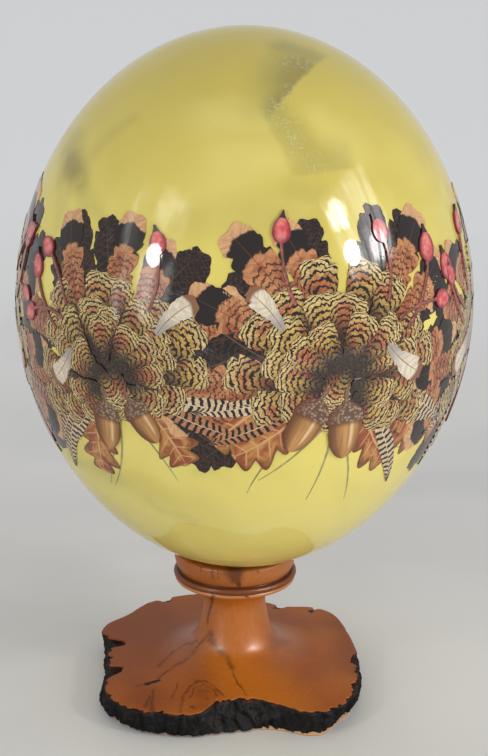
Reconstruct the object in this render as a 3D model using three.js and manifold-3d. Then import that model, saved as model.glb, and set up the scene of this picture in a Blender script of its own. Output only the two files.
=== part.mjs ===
// A decorated ostrich egg standing in the cup of a turned wooden stand.
//
// The stand is one piece of wood, turned on a lathe from a slice of a small trunk: a shallow cup on a dark
// roll and a thin bead, a slim neck, and a flared plate that still has the trunk's uneven outline and bark.
// The egg is loose. It sits in the cup by its own weight, a little off the middle and leaning slightly.
//
// Millimetres, +Z up. The origin is where the lathe's axis meets the surface that the stand rests on.

import * as THREE from "three";
import { mergeVertices } from "three/addons/utils/BufferGeometryUtils.js";
import Module from "manifold-3d";

const wasm = await Module();
wasm.setup();

// Driving dimensions of the egg.
const EGG_LENGTH = 152;
const EGG_RADIUS = 62.65;
const BLUNT_END = 0.0127; // how much fuller the upper end is
const POINTED_ENDS = -0.0274; // how much both ends draw in from an ellipse
const EGG_FOOT_HEIGHT = 38.5; // the lowest point of the shell, above the surface the stand rests on
const EGG_SHIFT = 1.5; // how far that point lies from the lathe's axis
const EGG_LEAN = THREE.MathUtils.degToRad(0.6);
const EGG_ROUND = 56;
const EGG_RINGS = 28;

// Driving dimensions of the stand.
const SEAT_GAP = 0.3;
const STAND_ROUND = 96;
const PLATE_FROM = 20; // the radius where the neck's flare has become the plate
const PLATE_EDGE_HEIGHT = 6.6;
const PLATE_RISE = 3.2; // how much higher the plate is at PLATE_FROM than far outside
const PLATE_FALL = 14; // the radius over which that rise dies away
const PLATE_RINGS = 6;
const FOOT_CHAMFER = 0.8;
const BARK_BULGE = 0.5;

// The turned profile from the rim of the cup down to the plate, as [radius, height].
const TURNED_PROFILE = [
  [14, 40.5],
  [16.8, 40.5],
  [17.3, 40],
  [17.2, 38.6],
  [16.7, 37],
  [15.9, 35.6],
  [15.6, 35.1],
  [16.2, 35.3],
  [17, 35.2],
  [17.6, 34.7],
  [17.75, 34],
  [17.4, 33.2],
  [16.7, 32.7],
  [16.75, 32.3],
  [16.3, 31.7],
  [14.6, 31.1],
  [11.6, 30.4],
  [9.5, 29],
  [8.8, 26.6],
  [8.9, 24],
  [9.4, 21.4],
  [10.2, 18.6],
  [11.4, 15.6],
  [13.4, 12.8],
  [16.2, 10.9],
];

// The trunk's outline as [degrees, radius at the plate's upper edge, radius at the foot], seen from above.
// Zero degrees is to the right, and -90 is to the front.
const OUTLINE = [
  [-176, 36.6, 37.0],
  [-166, 37.4, 38.8],
  [-157, 39.8, 41.2],
  [-148, 43.0, 43.2],
  [-136, 47.2, 44.8],
  [-126, 47.4, 44.8],
  [-117, 43.8, 43.0],
  [-109, 43.2, 41.8],
  [-103, 40.4, 40.4],
  [-98, 33.6, 38.4],
  [-88, 31.2, 36.8],
  [-76, 32.8, 35.9],
  [-69, 36.6, 37.6],
  [-63, 43.0, 42.6],
  [-57, 45.6, 44.6],
  [-48, 45.0, 41.6],
  [-38, 43.0, 40.0],
  [-28, 39.8, 38.4],
  [-14, 36.4, 36.8],
  [3, 35.2, 35.6],
  [21, 36.0, 36.2],
  [34, 38.6, 38.0],
  [46, 41.8, 40.6],
  [56, 41.6, 40.6],
  [66, 37.4, 37.8],
  [75, 38.4, 38.2],
  [90, 43.2, 42.0],
  [105, 46.8, 45.2],
  [117, 48.4, 46.4],
  [128, 45.2, 44.2],
  [140, 42.6, 41.6],
  [150, 43.6, 41.2],
  [158, 42.4, 40.4],
  [166, 39.0, 38.6],
  [174, 37.0, 37.4],
];

function material(color, roughness) {
  return new THREE.MeshStandardMaterial({ color, roughness, metalness: 0 });
}

function solidOf(geometry) {
  const bare = geometry.clone();
  bare.deleteAttribute("normal");
  bare.deleteAttribute("uv");
  const merged = mergeVertices(bare, 1e-3);
  return new wasm.Manifold(
    new wasm.Mesh({
      numProp: 3,
      vertProperties: new Float32Array(merged.attributes.position.array),
      triVerts: new Uint32Array(merged.index.array),
    }),
  );
}

function geometryOf(solid) {
  const { vertProperties, triVerts } = solid.getMesh();
  const geometry = new THREE.BufferGeometry();
  geometry.setAttribute("position", new THREE.BufferAttribute(vertProperties, 3));
  geometry.setIndex(new THREE.BufferAttribute(triVerts, 1));
  geometry.computeVertexNormals();
  return geometry;
}

// The shell's outer form, grown outwards by gap, with the egg's lowest point at the origin before growing.
function eggGeometry(gap) {
  const half = EGG_LENGTH / 2;
  const profile = [];
  for (let i = 0; i <= EGG_RINGS; i++) {
    const level = -Math.cos((Math.PI * i) / EGG_RINGS);
    const fullness = 1 + BLUNT_END * level + POINTED_ENDS * level * level;
    const across = Math.sqrt(Math.max(0, 1 - level * level));
    profile.push(new THREE.Vector2((EGG_RADIUS + gap) * across * fullness, half + (half + gap) * level));
  }
  const lathe = new THREE.LatheGeometry(profile, EGG_ROUND);
  return lathe.rotateX(Math.PI / 2); // the lathe's own axis is Y
}

function placeEgg(object) {
  object.position.set(EGG_SHIFT, 0, EGG_FOOT_HEIGHT);
  object.rotation.y = EGG_LEAN;
  object.updateMatrix();
  return object;
}

function makeEgg() {
  const egg = new THREE.Mesh(eggGeometry(0), material(0xd8c96a, 0.12));
  egg.name = "egg";
  return placeEgg(egg);
}

// A smooth closed curve through one of the outline's radii.
function outlineCurve(column) {
  const points = OUTLINE.map(([degrees, ...radii]) => {
    const angle = THREE.MathUtils.degToRad(degrees);
    return new THREE.Vector3(radii[column] * Math.cos(angle), radii[column] * Math.sin(angle), 0);
  });
  return new THREE.CatmullRomCurve3(points, true, "centripetal");
}

function plateHeight(radius) {
  return PLATE_EDGE_HEIGHT + PLATE_RISE * Math.exp(-(radius - PLATE_FROM) / PLATE_FALL);
}

// One spoke of the stand: its points from the cup's rim to the foot, as [radius, height].
function spoke(edgeRadius, footRadius) {
  const points = TURNED_PROFILE.map(([radius, height]) => [radius, height]);
  for (let i = 0; i <= PLATE_RINGS; i++) {
    const radius = THREE.MathUtils.lerp(PLATE_FROM, edgeRadius, i / PLATE_RINGS);
    points.push([radius, plateHeight(radius)]);
  }
  const edgeHeight = plateHeight(edgeRadius);
  points.push([(edgeRadius + footRadius) / 2 + BARK_BULGE, edgeHeight / 2]);
  points.push([footRadius, FOOT_CHAMFER]);
  points.push([footRadius - FOOT_CHAMFER, 0]);
  return points;
}

// Joins rings of points, all of one length, into a closed surface capped at both ends.
function closedRings(rings, topCentre, footCentre) {
  const round = rings[0].length;
  const positions = [...topCentre, ...rings.flat(2), ...footCentre];
  const index = [];
  const at = (ring, i) => 1 + ring * round + (i % round);
  const last = 1 + rings.length * round;
  for (let i = 0; i < round; i++) {
    index.push(0, at(0, i), at(0, i + 1));
    for (let ring = 0; ring + 1 < rings.length; ring++) {
      index.push(at(ring, i), at(ring + 1, i), at(ring + 1, i + 1));
      index.push(at(ring, i), at(ring + 1, i + 1), at(ring, i + 1));
    }
    index.push(at(rings.length - 1, i), last, at(rings.length - 1, i + 1));
  }
  const geometry = new THREE.BufferGeometry();
  geometry.setAttribute("position", new THREE.Float32BufferAttribute(positions, 3));
  geometry.setIndex(index);
  return geometry;
}

function makeStand() {
  const edge = outlineCurve(0);
  const foot = outlineCurve(1);
  const spokes = [];
  for (let i = 0; i < STAND_ROUND; i++) {
    const edgePoint = edge.getPoint(i / STAND_ROUND);
    const footPoint = foot.getPoint(i / STAND_ROUND);
    const angle = Math.atan2(edgePoint.y, edgePoint.x);
    spokes.push({ angle, points: spoke(edgePoint.length(), footPoint.length()) });
  }
  const rings = spokes[0].points.map((_, ring) =>
    spokes.map(({ angle, points }) => {
      const [radius, height] = points[ring];
      return [radius * Math.cos(angle), radius * Math.sin(angle), height];
    }),
  );
  const blank = closedRings(rings, [0, 0, TURNED_PROFILE[0][1]], [0, 0, 0]);

  // The cup is hollowed to the egg's own form, a little larger.
  const hollow = placeEgg(new THREE.Mesh());
  const eggRoom = eggGeometry(SEAT_GAP).applyMatrix4(hollow.matrix);
  const turned = solidOf(blank).subtract(solidOf(eggRoom));
  const stand = new THREE.Mesh(geometryOf(turned), material(0x9a5522, 0.35));
  stand.name = "stand";
  return stand;
}

const eggOnStand = new THREE.Group();
eggOnStand.add(makeStand(), makeEgg());

export default eggOnStand;
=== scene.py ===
import math
import random

import bpy
import numpy as np
from mathutils import Matrix, Vector, noise


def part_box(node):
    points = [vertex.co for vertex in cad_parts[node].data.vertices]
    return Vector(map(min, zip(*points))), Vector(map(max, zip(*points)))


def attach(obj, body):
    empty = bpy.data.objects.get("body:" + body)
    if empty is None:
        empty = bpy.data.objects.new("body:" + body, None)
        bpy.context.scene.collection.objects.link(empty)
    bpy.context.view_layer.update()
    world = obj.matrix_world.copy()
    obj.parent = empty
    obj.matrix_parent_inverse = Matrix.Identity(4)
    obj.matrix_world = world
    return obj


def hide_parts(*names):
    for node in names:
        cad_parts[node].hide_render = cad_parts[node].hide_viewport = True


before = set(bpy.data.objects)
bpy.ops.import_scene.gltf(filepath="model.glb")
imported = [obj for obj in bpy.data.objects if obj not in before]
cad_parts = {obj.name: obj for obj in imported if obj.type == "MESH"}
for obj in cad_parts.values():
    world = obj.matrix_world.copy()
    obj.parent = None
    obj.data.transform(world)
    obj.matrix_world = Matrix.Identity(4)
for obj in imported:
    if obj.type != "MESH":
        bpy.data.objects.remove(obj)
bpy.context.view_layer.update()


# ------------------------------------------------------------------------------------------- the view
# The camera stands a little above the egg's middle and looks slightly down on it. The image is upright, and
# its long side sets the lens.
IMAGE_HEIGHT = 756
FOCAL_PIXELS = 2708.5
SENSOR = 36.0
VIEW_DISTANCE = 0.75
VIEW_ELEVATION = math.radians(17)
LOOK_DOWN = math.radians(18.656)
ROLL = math.radians(0.3)

egg_low, egg_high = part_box("egg")
egg_middle = (egg_low + egg_high) / 2

camera = bpy.data.objects.new("camera", bpy.data.cameras.new("camera"))
camera.data.sensor_width = SENSOR
camera.data.lens = FOCAL_PIXELS * SENSOR / IMAGE_HEIGHT
camera.data.clip_start = 0.01
back = Vector((0, -math.cos(VIEW_ELEVATION), math.sin(VIEW_ELEVATION)))
tilted = Matrix.Rotation(math.radians(90) - LOOK_DOWN, 4, "X") @ Matrix.Rotation(ROLL, 4, "Z")
camera.matrix_world = Matrix.Translation(egg_middle + VIEW_DISTANCE * back) @ tilted
bpy.context.scene.collection.objects.link(camera)
bpy.context.scene.camera = camera
bpy.context.scene.view_settings.view_transform = "Standard"


# ------------------------------------------------------------------------------------------ the floor
# A wide, plain, pale board that the object stands on. It is matt and a little uneven in tone, and it is
# painted whiter further out, as painted light for the brighter light on the far floor.
FLOOR_RADIUS = 4.0
FLOOR_SIDES = 96
FLOOR_FAR_LIGHT = (0.94, 0.945, 0.95)
FLOOR_PALE = (0.77, 0.76, 0.745)
FLOOR_DULL = (0.65, 0.642, 0.63)
FAR_LIGHT_FROM = 130
FAR_LIGHT_AT = 560


def node(tree, kind, inputs=None, **settings):
    """A node with its settings, and its inputs as numbers, colours or other nodes' outputs."""
    made = tree.nodes.new(kind)
    for name, value in settings.items():
        setattr(made, name, value)
    for name, value in (inputs or {}).items():
        if isinstance(value, bpy.types.NodeSocket):
            tree.links.new(value, made.inputs[name])
        else:
            made.inputs[name].default_value = value
    return made


def new_material(name, **principled):
    """A material with one Principled shader, and its tree and shader for the rest to join."""
    material = bpy.data.materials.new(name)
    material.use_nodes = True
    tree = material.node_tree
    shader = tree.nodes["Principled BSDF"]
    for socket, value in principled.items():
        shader.inputs[socket.replace("_", " ")].default_value = value
    return material, tree, shader


def colour(rgb):
    return (*rgb, 1.0)


def mix(tree, mask, first, second):
    """The first colour where the mask is 0, and the second where it is 1."""
    mixed = node(tree, "ShaderNodeMix", data_type="RGBA")
    for name, value in (("Factor_Float", mask), ("A_Color", first), ("B_Color", second)):
        socket = next(s for s in mixed.inputs if s.identifier == name)
        if isinstance(value, bpy.types.NodeSocket):
            tree.links.new(value, socket)
        else:
            socket.default_value = value
    return next(s for s in mixed.outputs if s.identifier == "Result_Color")


def maths(tree, operation, first, second=0.0, third=0.0):
    inputs = {0: first, 1: second, 2: third}
    return node(tree, "ShaderNodeMath", inputs, operation=operation).outputs[0]


def times(tree, first, second):
    return maths(tree, "MULTIPLY", first, second)


def painted(tree, under, rgb, mask, strength=1.0):
    """What is under, with a colour laid over it where the mask is 1."""
    if strength != 1.0:
        mask = times(tree, mask, strength)
    return mix(tree, mask, under, colour(rgb))


def vector(tree, operation, first, second=(0, 0, 0), output="Vector"):
    inputs = {0: first, "Scale" if operation == "SCALE" else 1: second}
    return node(tree, "ShaderNodeVectorMath", inputs, operation=operation).outputs[output]


def mottled(tree, place, scale=1.0, detail=2.0, warp=0.0):
    """Soft noise from 0 to 1."""
    inputs = {"Vector": place, "Scale": scale, "Detail": detail, "Distortion": warp}
    return node(tree, "ShaderNodeTexNoise", inputs).outputs["Fac"]


def ramp(tree, value, low, high, out_low=0.0, out_high=1.0):
    """The value, eased from low to high. Easing keeps to its range, so the node needs no clamp."""
    inputs = {"Value": value, "From Min": low, "From Max": high, "To Min": out_low, "To Max": out_high}
    eased = node(tree, "ShaderNodeMapRange", inputs, interpolation_type="SMOOTHSTEP", clamp=False)
    return eased.outputs["Result"]


def object_place(tree, middle=(0, 0, 0), scale=(1000, 1000, 1000)):
    """The place on the object in millimetres from a point given in metres."""
    coordinates = node(tree, "ShaderNodeTexCoord")
    away = tuple(-m * s for m, s in zip(middle, scale))
    inputs = {"Vector": coordinates.outputs["Object"], "Location": away, "Scale": scale}
    return node(tree, "ShaderNodeMapping", inputs).outputs["Vector"]


def mesh_object(name, places, faces):
    """A smooth-shaded mesh with its places where they are meant to be, in an object at the origin."""
    mesh = bpy.data.meshes.new(name)
    mesh.from_pydata([tuple(p) for p in places], [], faces)
    mesh.polygons.foreach_set("use_smooth", [True] * len(mesh.polygons))
    made = bpy.data.objects.new(name, mesh)
    bpy.context.scene.collection.objects.link(made)
    return made


def soft_group(name, inputs, outputs):
    """An empty shader node group with named inputs and outputs."""
    tree = bpy.data.node_groups.new(name, "ShaderNodeTree")
    for label, (kind, value) in inputs.items():
        socket = tree.interface.new_socket(label, in_out="INPUT", socket_type=kind)
        socket.default_value = value
    for label, kind in outputs.items():
        tree.interface.new_socket(label, in_out="OUTPUT", socket_type=kind)
    return tree, node(tree, "NodeGroupInput").outputs, node(tree, "NodeGroupOutput").inputs


def placed(tree, group, **inputs):
    """A node group in a material, with its inputs named as its sockets are."""
    made = node(tree, "ShaderNodeGroup", node_tree=group)
    for label, value in inputs.items():
        socket = made.inputs[label.replace("_", " ")]
        if isinstance(value, bpy.types.NodeSocket):
            tree.links.new(value, socket)
        else:
            socket.default_value = value
    return made.outputs


# Soft patches of noise: the place in millimetres, the patches' size, and where they start and end.
cloud, given, out = soft_group(
    "cloud",
    {
        "Place": ("NodeSocketVector", (0, 0, 0)),
        "Size": ("NodeSocketFloat", 20.0),
        "Detail": ("NodeSocketFloat", 3.0),
        "Warp": ("NodeSocketFloat", 0.5),
        "Start": ("NodeSocketFloat", 0.4),
        "End": ("NodeSocketFloat", 0.6),
    },
    {"Mask": "NodeSocketFloat"},
)
fine = maths(cloud, "DIVIDE", 1.0, given["Size"])
patches = mottled(cloud, given["Place"], fine, given["Detail"], given["Warp"])
cloud.links.new(ramp(cloud, patches, given["Start"], given["End"]), out["Mask"])

pale_board, tree, shader = new_material("pale board", Roughness=0.55, Specular_IOR_Level=0.25)
place = object_place(tree)
tone = placed(tree, cloud, Place=place, Size=170.0, Start=0.3, End=0.7)["Mask"]
board = painted(tree, colour(FLOOR_PALE), FLOOR_DULL, tone)
from_middle = vector(tree, "LENGTH", place, output="Value")
# painted light: the board is painted whiter further out from the middle
board = painted(tree, board, FLOOR_FAR_LIGHT, ramp(tree, from_middle, FAR_LIGHT_FROM, FAR_LIGHT_AT))
tree.links.new(board, shader.inputs["Base Color"])

turn = np.linspace(0, 2 * math.pi, FLOOR_SIDES, endpoint=False)
rim = [(FLOOR_RADIUS * math.cos(t), FLOOR_RADIUS * math.sin(t), 0) for t in turn]
floor = mesh_object("floor", rim, [tuple(range(FLOOR_SIDES))])
floor.data.materials.append(pale_board)


# ------------------------------------------------------------------------------------------ the light
# A bright room, two small lamps close in front, and a soft cloth screen behind each lamp. The cloth hangs
# in folds, so that it shows as streaks in the gloss. A long low light fills in the egg's underside. The
# right-hand side is the brighter one.
ROOM = (0.655, 0.66, 0.665)
LAMP_DIAMETER = 0.055
# each lamp's place, its power, and the power of its bare bulb, which only shows as a gleam in the gloss
LAMPS = {
    "right lamp": ((0.300, -0.217, 0.237), 0.30, 0.80),
    "left lamp": ((-0.262, -0.265, 0.245), 0.17, 0.42),
}
# each screen's middle, its width and height, its strength, its fold pattern's start, and its glowing
# spots: their place on the cloth, their radius and their strength
SCREENS = {
    "right screen": (
        (0.653, -0.283, 0.44),
        (0.50, 0.50),
        12.0,
        3.0,
        (((-0.14, 0.10), 0.11, 3.0), ((0.07, -0.12), 0.08, 1.8), ((0.0, 0.0), 0.30, 0.42)),
    ),
    "left screen": ((-0.60, -0.48, 0.36), (0.50, 0.80), 6.0, 8.5, ()),
}
# the cloth's folds fan out from below it, and its light dies away over this share of each half
FOLDS_MEET = 1.15
FOLD_COUNT = 9.0
FOLD_EDGE = 0.30
SPOT_CORE = 0.55
SPOT_PULL = 0.16
FILL_PLACE = (0.24, -0.46, 0.09)
FILL_SIZE = (0.60, 0.09)
FILL_POWER = 0.62

world = bpy.data.worlds.new("room")
world.use_nodes = True
world.node_tree.nodes["Background"].inputs["Color"].default_value = colour(ROOM)
bpy.context.scene.world = world


def aimed(made, place):
    """Puts a light or a screen at a place, facing the egg."""
    made.matrix_world = Matrix.Translation(place) @ (
        (Vector(place) - egg_middle).to_track_quat("Z", "Y").to_matrix().to_4x4()
    )
    made.visible_camera = False


for name, (place, power, gleam) in LAMPS.items():
    for label, energy, lights_surfaces in ((name, power, True), (name + " gleam", gleam, False)):
        lamp = bpy.data.objects.new(label, bpy.data.lights.new(label, "AREA"))
        lamp.data.shape = "DISK"
        lamp.data.size = LAMP_DIAMETER
        lamp.data.energy = energy
        lamp.visible_diffuse = lights_surfaces
        bpy.context.scene.collection.objects.link(lamp)
        aimed(lamp, place)

fill = bpy.data.objects.new("low fill", bpy.data.lights.new("low fill", "AREA"))
fill.data.shape = "RECTANGLE"
fill.data.size, fill.data.size_y = FILL_SIZE
fill.data.energy = FILL_POWER
fill.visible_glossy = False
bpy.context.scene.collection.objects.link(fill)
aimed(fill, FILL_PLACE)

for name, (place, (width, height), strength, start, spots) in SCREENS.items():
    cloth = bpy.data.materials.new(name)
    cloth.use_nodes = True
    tree = cloth.node_tree
    tree.nodes.remove(tree.nodes["Principled BSDF"])
    spot = object_place(tree, scale=(1, 1, 1))
    across, up, _ = node(tree, "ShaderNodeSeparateXYZ", {0: spot}).outputs
    swing = maths(tree, "ARCTAN2", across, maths(tree, "ADD", up, FOLDS_MEET * height))
    inputs = {0: times(tree, swing, FOLD_COUNT), 1: up, 2: start}
    folds = node(tree, "ShaderNodeCombineXYZ", inputs).outputs[0]
    streaks = mottled(tree, folds, detail=3.0, warp=0.3)
    patch = mottled(tree, spot, 3.6)
    folded = ramp(tree, streaks, 0.34, 0.70, 0.15, 1.0)
    lit = times(tree, folded, ramp(tree, patch, 0.38, 0.66, 0.08, 1.0))
    # the spots are brightest where the cloth isn't creased, and the folds pull them out of round
    creased = ramp(tree, streaks, 0.42, 0.56, 0.45, 1.0)
    pulled = maths(tree, "MULTIPLY_ADD", streaks, -SPOT_PULL, 0.5 * SPOT_PULL)
    for (spot_across, spot_up), radius, brightness in spots:
        away = vector(tree, "DISTANCE", spot, (spot_across, spot_up, 0), output="Value")
        away = maths(tree, "ADD", away, pulled)
        round_spot = ramp(tree, away, SPOT_CORE * radius, radius, brightness, 0.0)
        lit = maths(tree, "MAXIMUM", lit, times(tree, round_spot, creased))
    for position, half in ((across, width / 2), (up, height / 2)):
        aside = maths(tree, "ABSOLUTE", position)
        lit = times(tree, lit, ramp(tree, aside, half * (1 - FOLD_EDGE), half, 1.0, 0.0))
    glow = node(tree, "ShaderNodeEmission", {"Strength": times(tree, lit, strength)})
    clear = node(tree, "ShaderNodeBsdfTransparent")
    both = node(tree, "ShaderNodeAddShader", {0: glow.outputs[0], 1: clear.outputs[0]})
    tree.links.new(both.outputs[0], tree.nodes["Material Output"].inputs["Surface"])
    corners = [(x * width / 2, y * height / 2, 0) for x, y in ((-1, -1), (1, -1), (1, 1), (-1, 1))]
    screen = mesh_object(name.replace(" ", "_"), corners, [(0, 1, 2, 3)])
    screen.data.materials.append(cloth)
    screen.visible_diffuse = False
    aimed(screen, place)


# -------------------------------------------------------------------------------------- the egg shell
# One blown ostrich eggshell, a little fuller at the top. It is sponged a cloudy yellow with smoky olive
# drifts, and lacquered to a high gloss. It leans a little in its cup, and its foot is off the middle.
EGG_LENGTH = 0.152
EGG_RADIUS = 0.06265
BLUNT_END = 0.0127
POINTED_ENDS = -0.0274
EGG_SHIFT = 0.0015
EGG_LEAN = math.radians(0.6)
EGG_ROUND = 240
EGG_RINGS = 130
MILLIMETRE = 0.001
LACQUERED = {
    "Roughness": 0.45,
    "Specular_IOR_Level": 0.0,
    "Coat_Weight": 1.0,
    "Coat_Roughness": 0.035,
    "Coat_IOR": 1.5,
}

half_length = EGG_LENGTH / 2
egg_foot = Vector((EGG_SHIFT, 0, egg_low.z))
egg_place = Matrix.Translation(egg_foot) @ Matrix.Rotation(EGG_LEAN, 4, "Y")
egg_place = egg_place @ Matrix.Translation((0, 0, half_length))


def on_shell(around, level):
    """Points on the shell: the angle around from the front, and the level from -1 at the foot to 1."""
    fullness = 1 + BLUNT_END * level + POINTED_ENDS * level**2
    across = EGG_RADIUS * np.sqrt(np.maximum(0, 1 - level**2)) * fullness
    return np.stack([across * np.sin(around), -across * np.cos(around), half_length * level], -1)


def moved(places, matrix):
    turned = np.array(matrix.to_3x3())
    return places @ turned.T + np.array(matrix.translation)


def closed_rings(rings, first_point, last_point):
    """Places and faces of a closed surface: rings of points in order, capped by a point at each end."""
    round_count = len(rings[0])
    places = np.concatenate([[first_point], *rings, [last_point]])
    last = len(places) - 1
    after = [(i + 1) % round_count for i in range(round_count)]
    faces = [(0, 1 + after[i], 1 + i) for i in range(round_count)]
    for ring in range(len(rings) - 1):
        low = 1 + ring * round_count
        high = low + round_count
        faces += [(low + i, low + after[i], high + after[i], high + i) for i in range(round_count)]
    base = 1 + (len(rings) - 1) * round_count
    faces += [(base + i, base + after[i], last) for i in range(round_count)]
    return places, faces


around = np.linspace(0, 2 * math.pi, EGG_ROUND, endpoint=False)
levels = -np.cos(math.pi * np.arange(1, EGG_RINGS) / EGG_RINGS)
rings = [moved(on_shell(around, np.full(EGG_ROUND, level)), egg_place) for level in levels]
poles = moved(on_shell(np.zeros(2), np.array([-1.0, 1.0])), egg_place)
places, faces = closed_rings(rings, poles[0], poles[1])
egg = mesh_object("egg_shell", places, faces)

# Shifts a place by up to a distance, in waves of a size, so that what is drawn there wavers.
unsteady, given, out = soft_group(
    "unsteady",
    {
        "Place": ("NodeSocketVector", (0, 0, 0)),
        "Waver": ("NodeSocketFloat", 1.0),
        "Waver Size": ("NodeSocketFloat", 5.0),
    },
    {"Place": "NodeSocketVector"},
)
waver_scale = maths(unsteady, "DIVIDE", 1.0, given["Waver Size"])
wave = node(unsteady, "ShaderNodeTexNoise", {"Vector": given["Place"], "Scale": waver_scale, "Detail": 3.0})
shift = vector(unsteady, "SUBTRACT", wave.outputs["Color"], (0.5, 0.5, 0.5))
twice = times(unsteady, given["Waver"], 2.0)
wavered = vector(unsteady, "ADD", given["Place"], vector(unsteady, "SCALE", shift, twice))
unsteady.links.new(wavered, out["Place"])

# A soft stroke from one point to another, with its half width at each end in millimetres, and how soft
# its edge is.
stroke, given, out = soft_group(
    "stroke",
    {
        "Place": ("NodeSocketVector", (0, 0, 0)),
        "From": ("NodeSocketVector", (0, 0, 0)),
        "To": ("NodeSocketVector", (1, 0, 0)),
        "Width": ("NodeSocketFloat", 1.0),
        "End Width": ("NodeSocketFloat", 1.0),
        "Softness": ("NodeSocketFloat", 0.5),
    },
    {"Mask": "NodeSocketFloat"},
)
whole = vector(stroke, "SUBTRACT", given["To"], given["From"])
passed = vector(stroke, "SUBTRACT", given["Place"], given["From"])
reached = vector(stroke, "DOT_PRODUCT", passed, whole, output="Value")
along = maths(stroke, "DIVIDE", reached, vector(stroke, "DOT_PRODUCT", whole, whole, output="Value"))
along = maths(stroke, "MINIMUM", maths(stroke, "MAXIMUM", along, 0.0), 1.0)
aside = vector(stroke, "SUBTRACT", passed, vector(stroke, "SCALE", whole, along))
distance = vector(stroke, "LENGTH", aside, output="Value")
grown = maths(stroke, "SUBTRACT", given["End Width"], given["Width"])
width_here = maths(stroke, "MULTIPLY_ADD", grown, along, given["Width"])
soft_part = times(stroke, width_here, given["Softness"])
inner = maths(stroke, "SUBTRACT", width_here, soft_part)
outer = maths(stroke, "ADD", width_here, soft_part)
stroke.links.new(ramp(stroke, distance, inner, outer, 1.0, 0.0), out["Mask"])

YELLOW = (0.765, 0.645, 0.150)
YELLOW_DEEP = (0.580, 0.465, 0.085)
YELLOW_PALE = (0.830, 0.730, 0.235)
OLIVE_SMOKE = (0.330, 0.282, 0.080)
BROWN_SMOKE = (0.280, 0.222, 0.062)
GREY_SMOKE = (0.400, 0.375, 0.150)
CRAZING_PALE = (0.640, 0.700, 0.420)
SPECK_BROWN = (0.220, 0.160, 0.050)
# painted shade and light, between these heights in mm: the shell's top is painted darker, its foot paler
TOP_SHADE_FROM = 12
TOP_SHADE_AT = 80
FOOT_LIGHT_FROM = -10
FOOT_LIGHT_AT = -62
# Smoky drifts on the shell, from and to in millimetres from its middle, and their half widths. A stencil
# held the first two back along straight edges.
CROWN_DRIFT = [
    ((11, -13, 73), (18, -13, 71), 4.5, 4.5),
    ((14, -18, 70), (11, -27, 67), 7.0, 6.0),
    ((11, -27, 67), (8, -35, 62), 5.5, 3.0),
]
CROWN_EDGE = ((9, -33, 63), (19, -16, 70))
CROWN_TAIL = [
    ((7, -35, 62), (12, -41, 57), 4.0, 4.5),
    ((12, -41, 57), (17, -44, 50), 4.5, 6.0),
    ((17, -44, 50), (23, -41, 50), 6.0, 5.0),
]
TAIL_EDGES = (((5, -38, 60), (12, -47, 48)), ((12, -47, 47), (23, -43, 48)))
DRIFTS = [
    ((-46, -16, 47), (-46, -22, 43), 4.2, 5.0),
    ((-46, -22, 43), (-43, -30, 41), 4.6, 3.4),
    ((30, 45, 50), (44, 40, 28), 6.0, 4.0),
    ((-40, 36, 40), (-28, 52, 8), 5.0, 7.0),
    ((8, 52, -34), (-14, 48, -38), 6.0, 4.0),
    ((46, 16, -38), (36, 32, -42), 5.0, 4.0),
]
FAINT_DRIFTS = [
    ((5, -25, 69), (4, -35, 63), 5.0, 4.5),
    ((-48, -6, 48), (-47, -14, 46), 4.0, 4.0),
    ((-41, -35, 38), (-34, -46, 31), 3.2, 1.6),
    ((-48, -28, 34), (-49, -30, 29), 3.2, 2.2),
    ((-28, -28, 58), (-39, -27, 49), 1.4, 2.6),
    ((-14, -54, 37), (14, -53, 38), 5.0, 5.0),
    ((13, -50, 44), (19, -49, 43), 3.0, 2.4),
    ((59, -16, 18), (57, -20, -18), 2.6, 2.6),
]
BRIGHT_PATCHES = [
    ((-5, -46, 52), (7, -45, 52), 6.0, 4.5),
    ((-8, -38, 60), (3, -38, 60), 6.0, 5.0),
    ((20, -35, 60), (27, -38, 53), 4.0, 6.0),
    ((20, 50, 40), (2, 56, 34), 6.0, 5.0),
]
# the middles of the drifts, which are browner
HEARTS = [
    ((15, -19, 70), (12, -26, 67), 3.4, 3.0),
    ((12, -27, 67), (9, -33, 63), 2.6, 1.8),
    ((-46, -20, 44), (-45, -25, 43), 2.6, 3.0),
    ((32, 45, 48), (42, 41, 32), 2.5, 1.5),
    ((-38, 40, 34), (-30, 50, 14), 2.0, 3.0),
]
# where the ground is crazed with short pale cracks
CRAZED = [
    ((10, -19, 71), (15, -18, 70), 3.0, 2.6),
    ((12, -28, 67), (11, -31, 65), 1.6, 1.6),
    ((9, -34, 63), (6, -37, 60), 2.0, 2.4),
    ((11, -38, 59), (13, -41, 55), 2.6, 2.4),
    ((14, -42, 54), (18, -44, 50), 2.4, 2.6),
    ((33, 45, 47), (40, 42, 35), 3.0, 2.4),
    ((-36, 42, 32), (-31, 49, 16), 2.4, 3.0),
]
# paler, greyer smudges low on the shell
SMUDGES = [
    ((-26, -43, -44), (-14, -46, -47), 3.0, 2.4),
    ((-47, -28, -36), (-34, -42, -36), 3.0, 3.6),
    ((-12, -56, -29), (10, -58, -23), 2.0, 1.4),
    ((10, 44, -46), (26, 38, -46), 4.0, 4.0),
]

painted_shell, tree, shader = new_material("painted shell", **LACQUERED)
place = object_place(tree, middle=tuple(egg_middle))
height = node(tree, "ShaderNodeSeparateXYZ", {0: place}).outputs["Z"]
deep = placed(tree, cloud, Place=place, Size=46.0, Detail=2.0, Warp=0.8, Start=0.38, End=0.68)["Mask"]
pale = placed(tree, cloud, Place=place, Size=30.0, Detail=2.0, Warp=1.0, Start=0.48, End=0.76)["Mask"]
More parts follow.
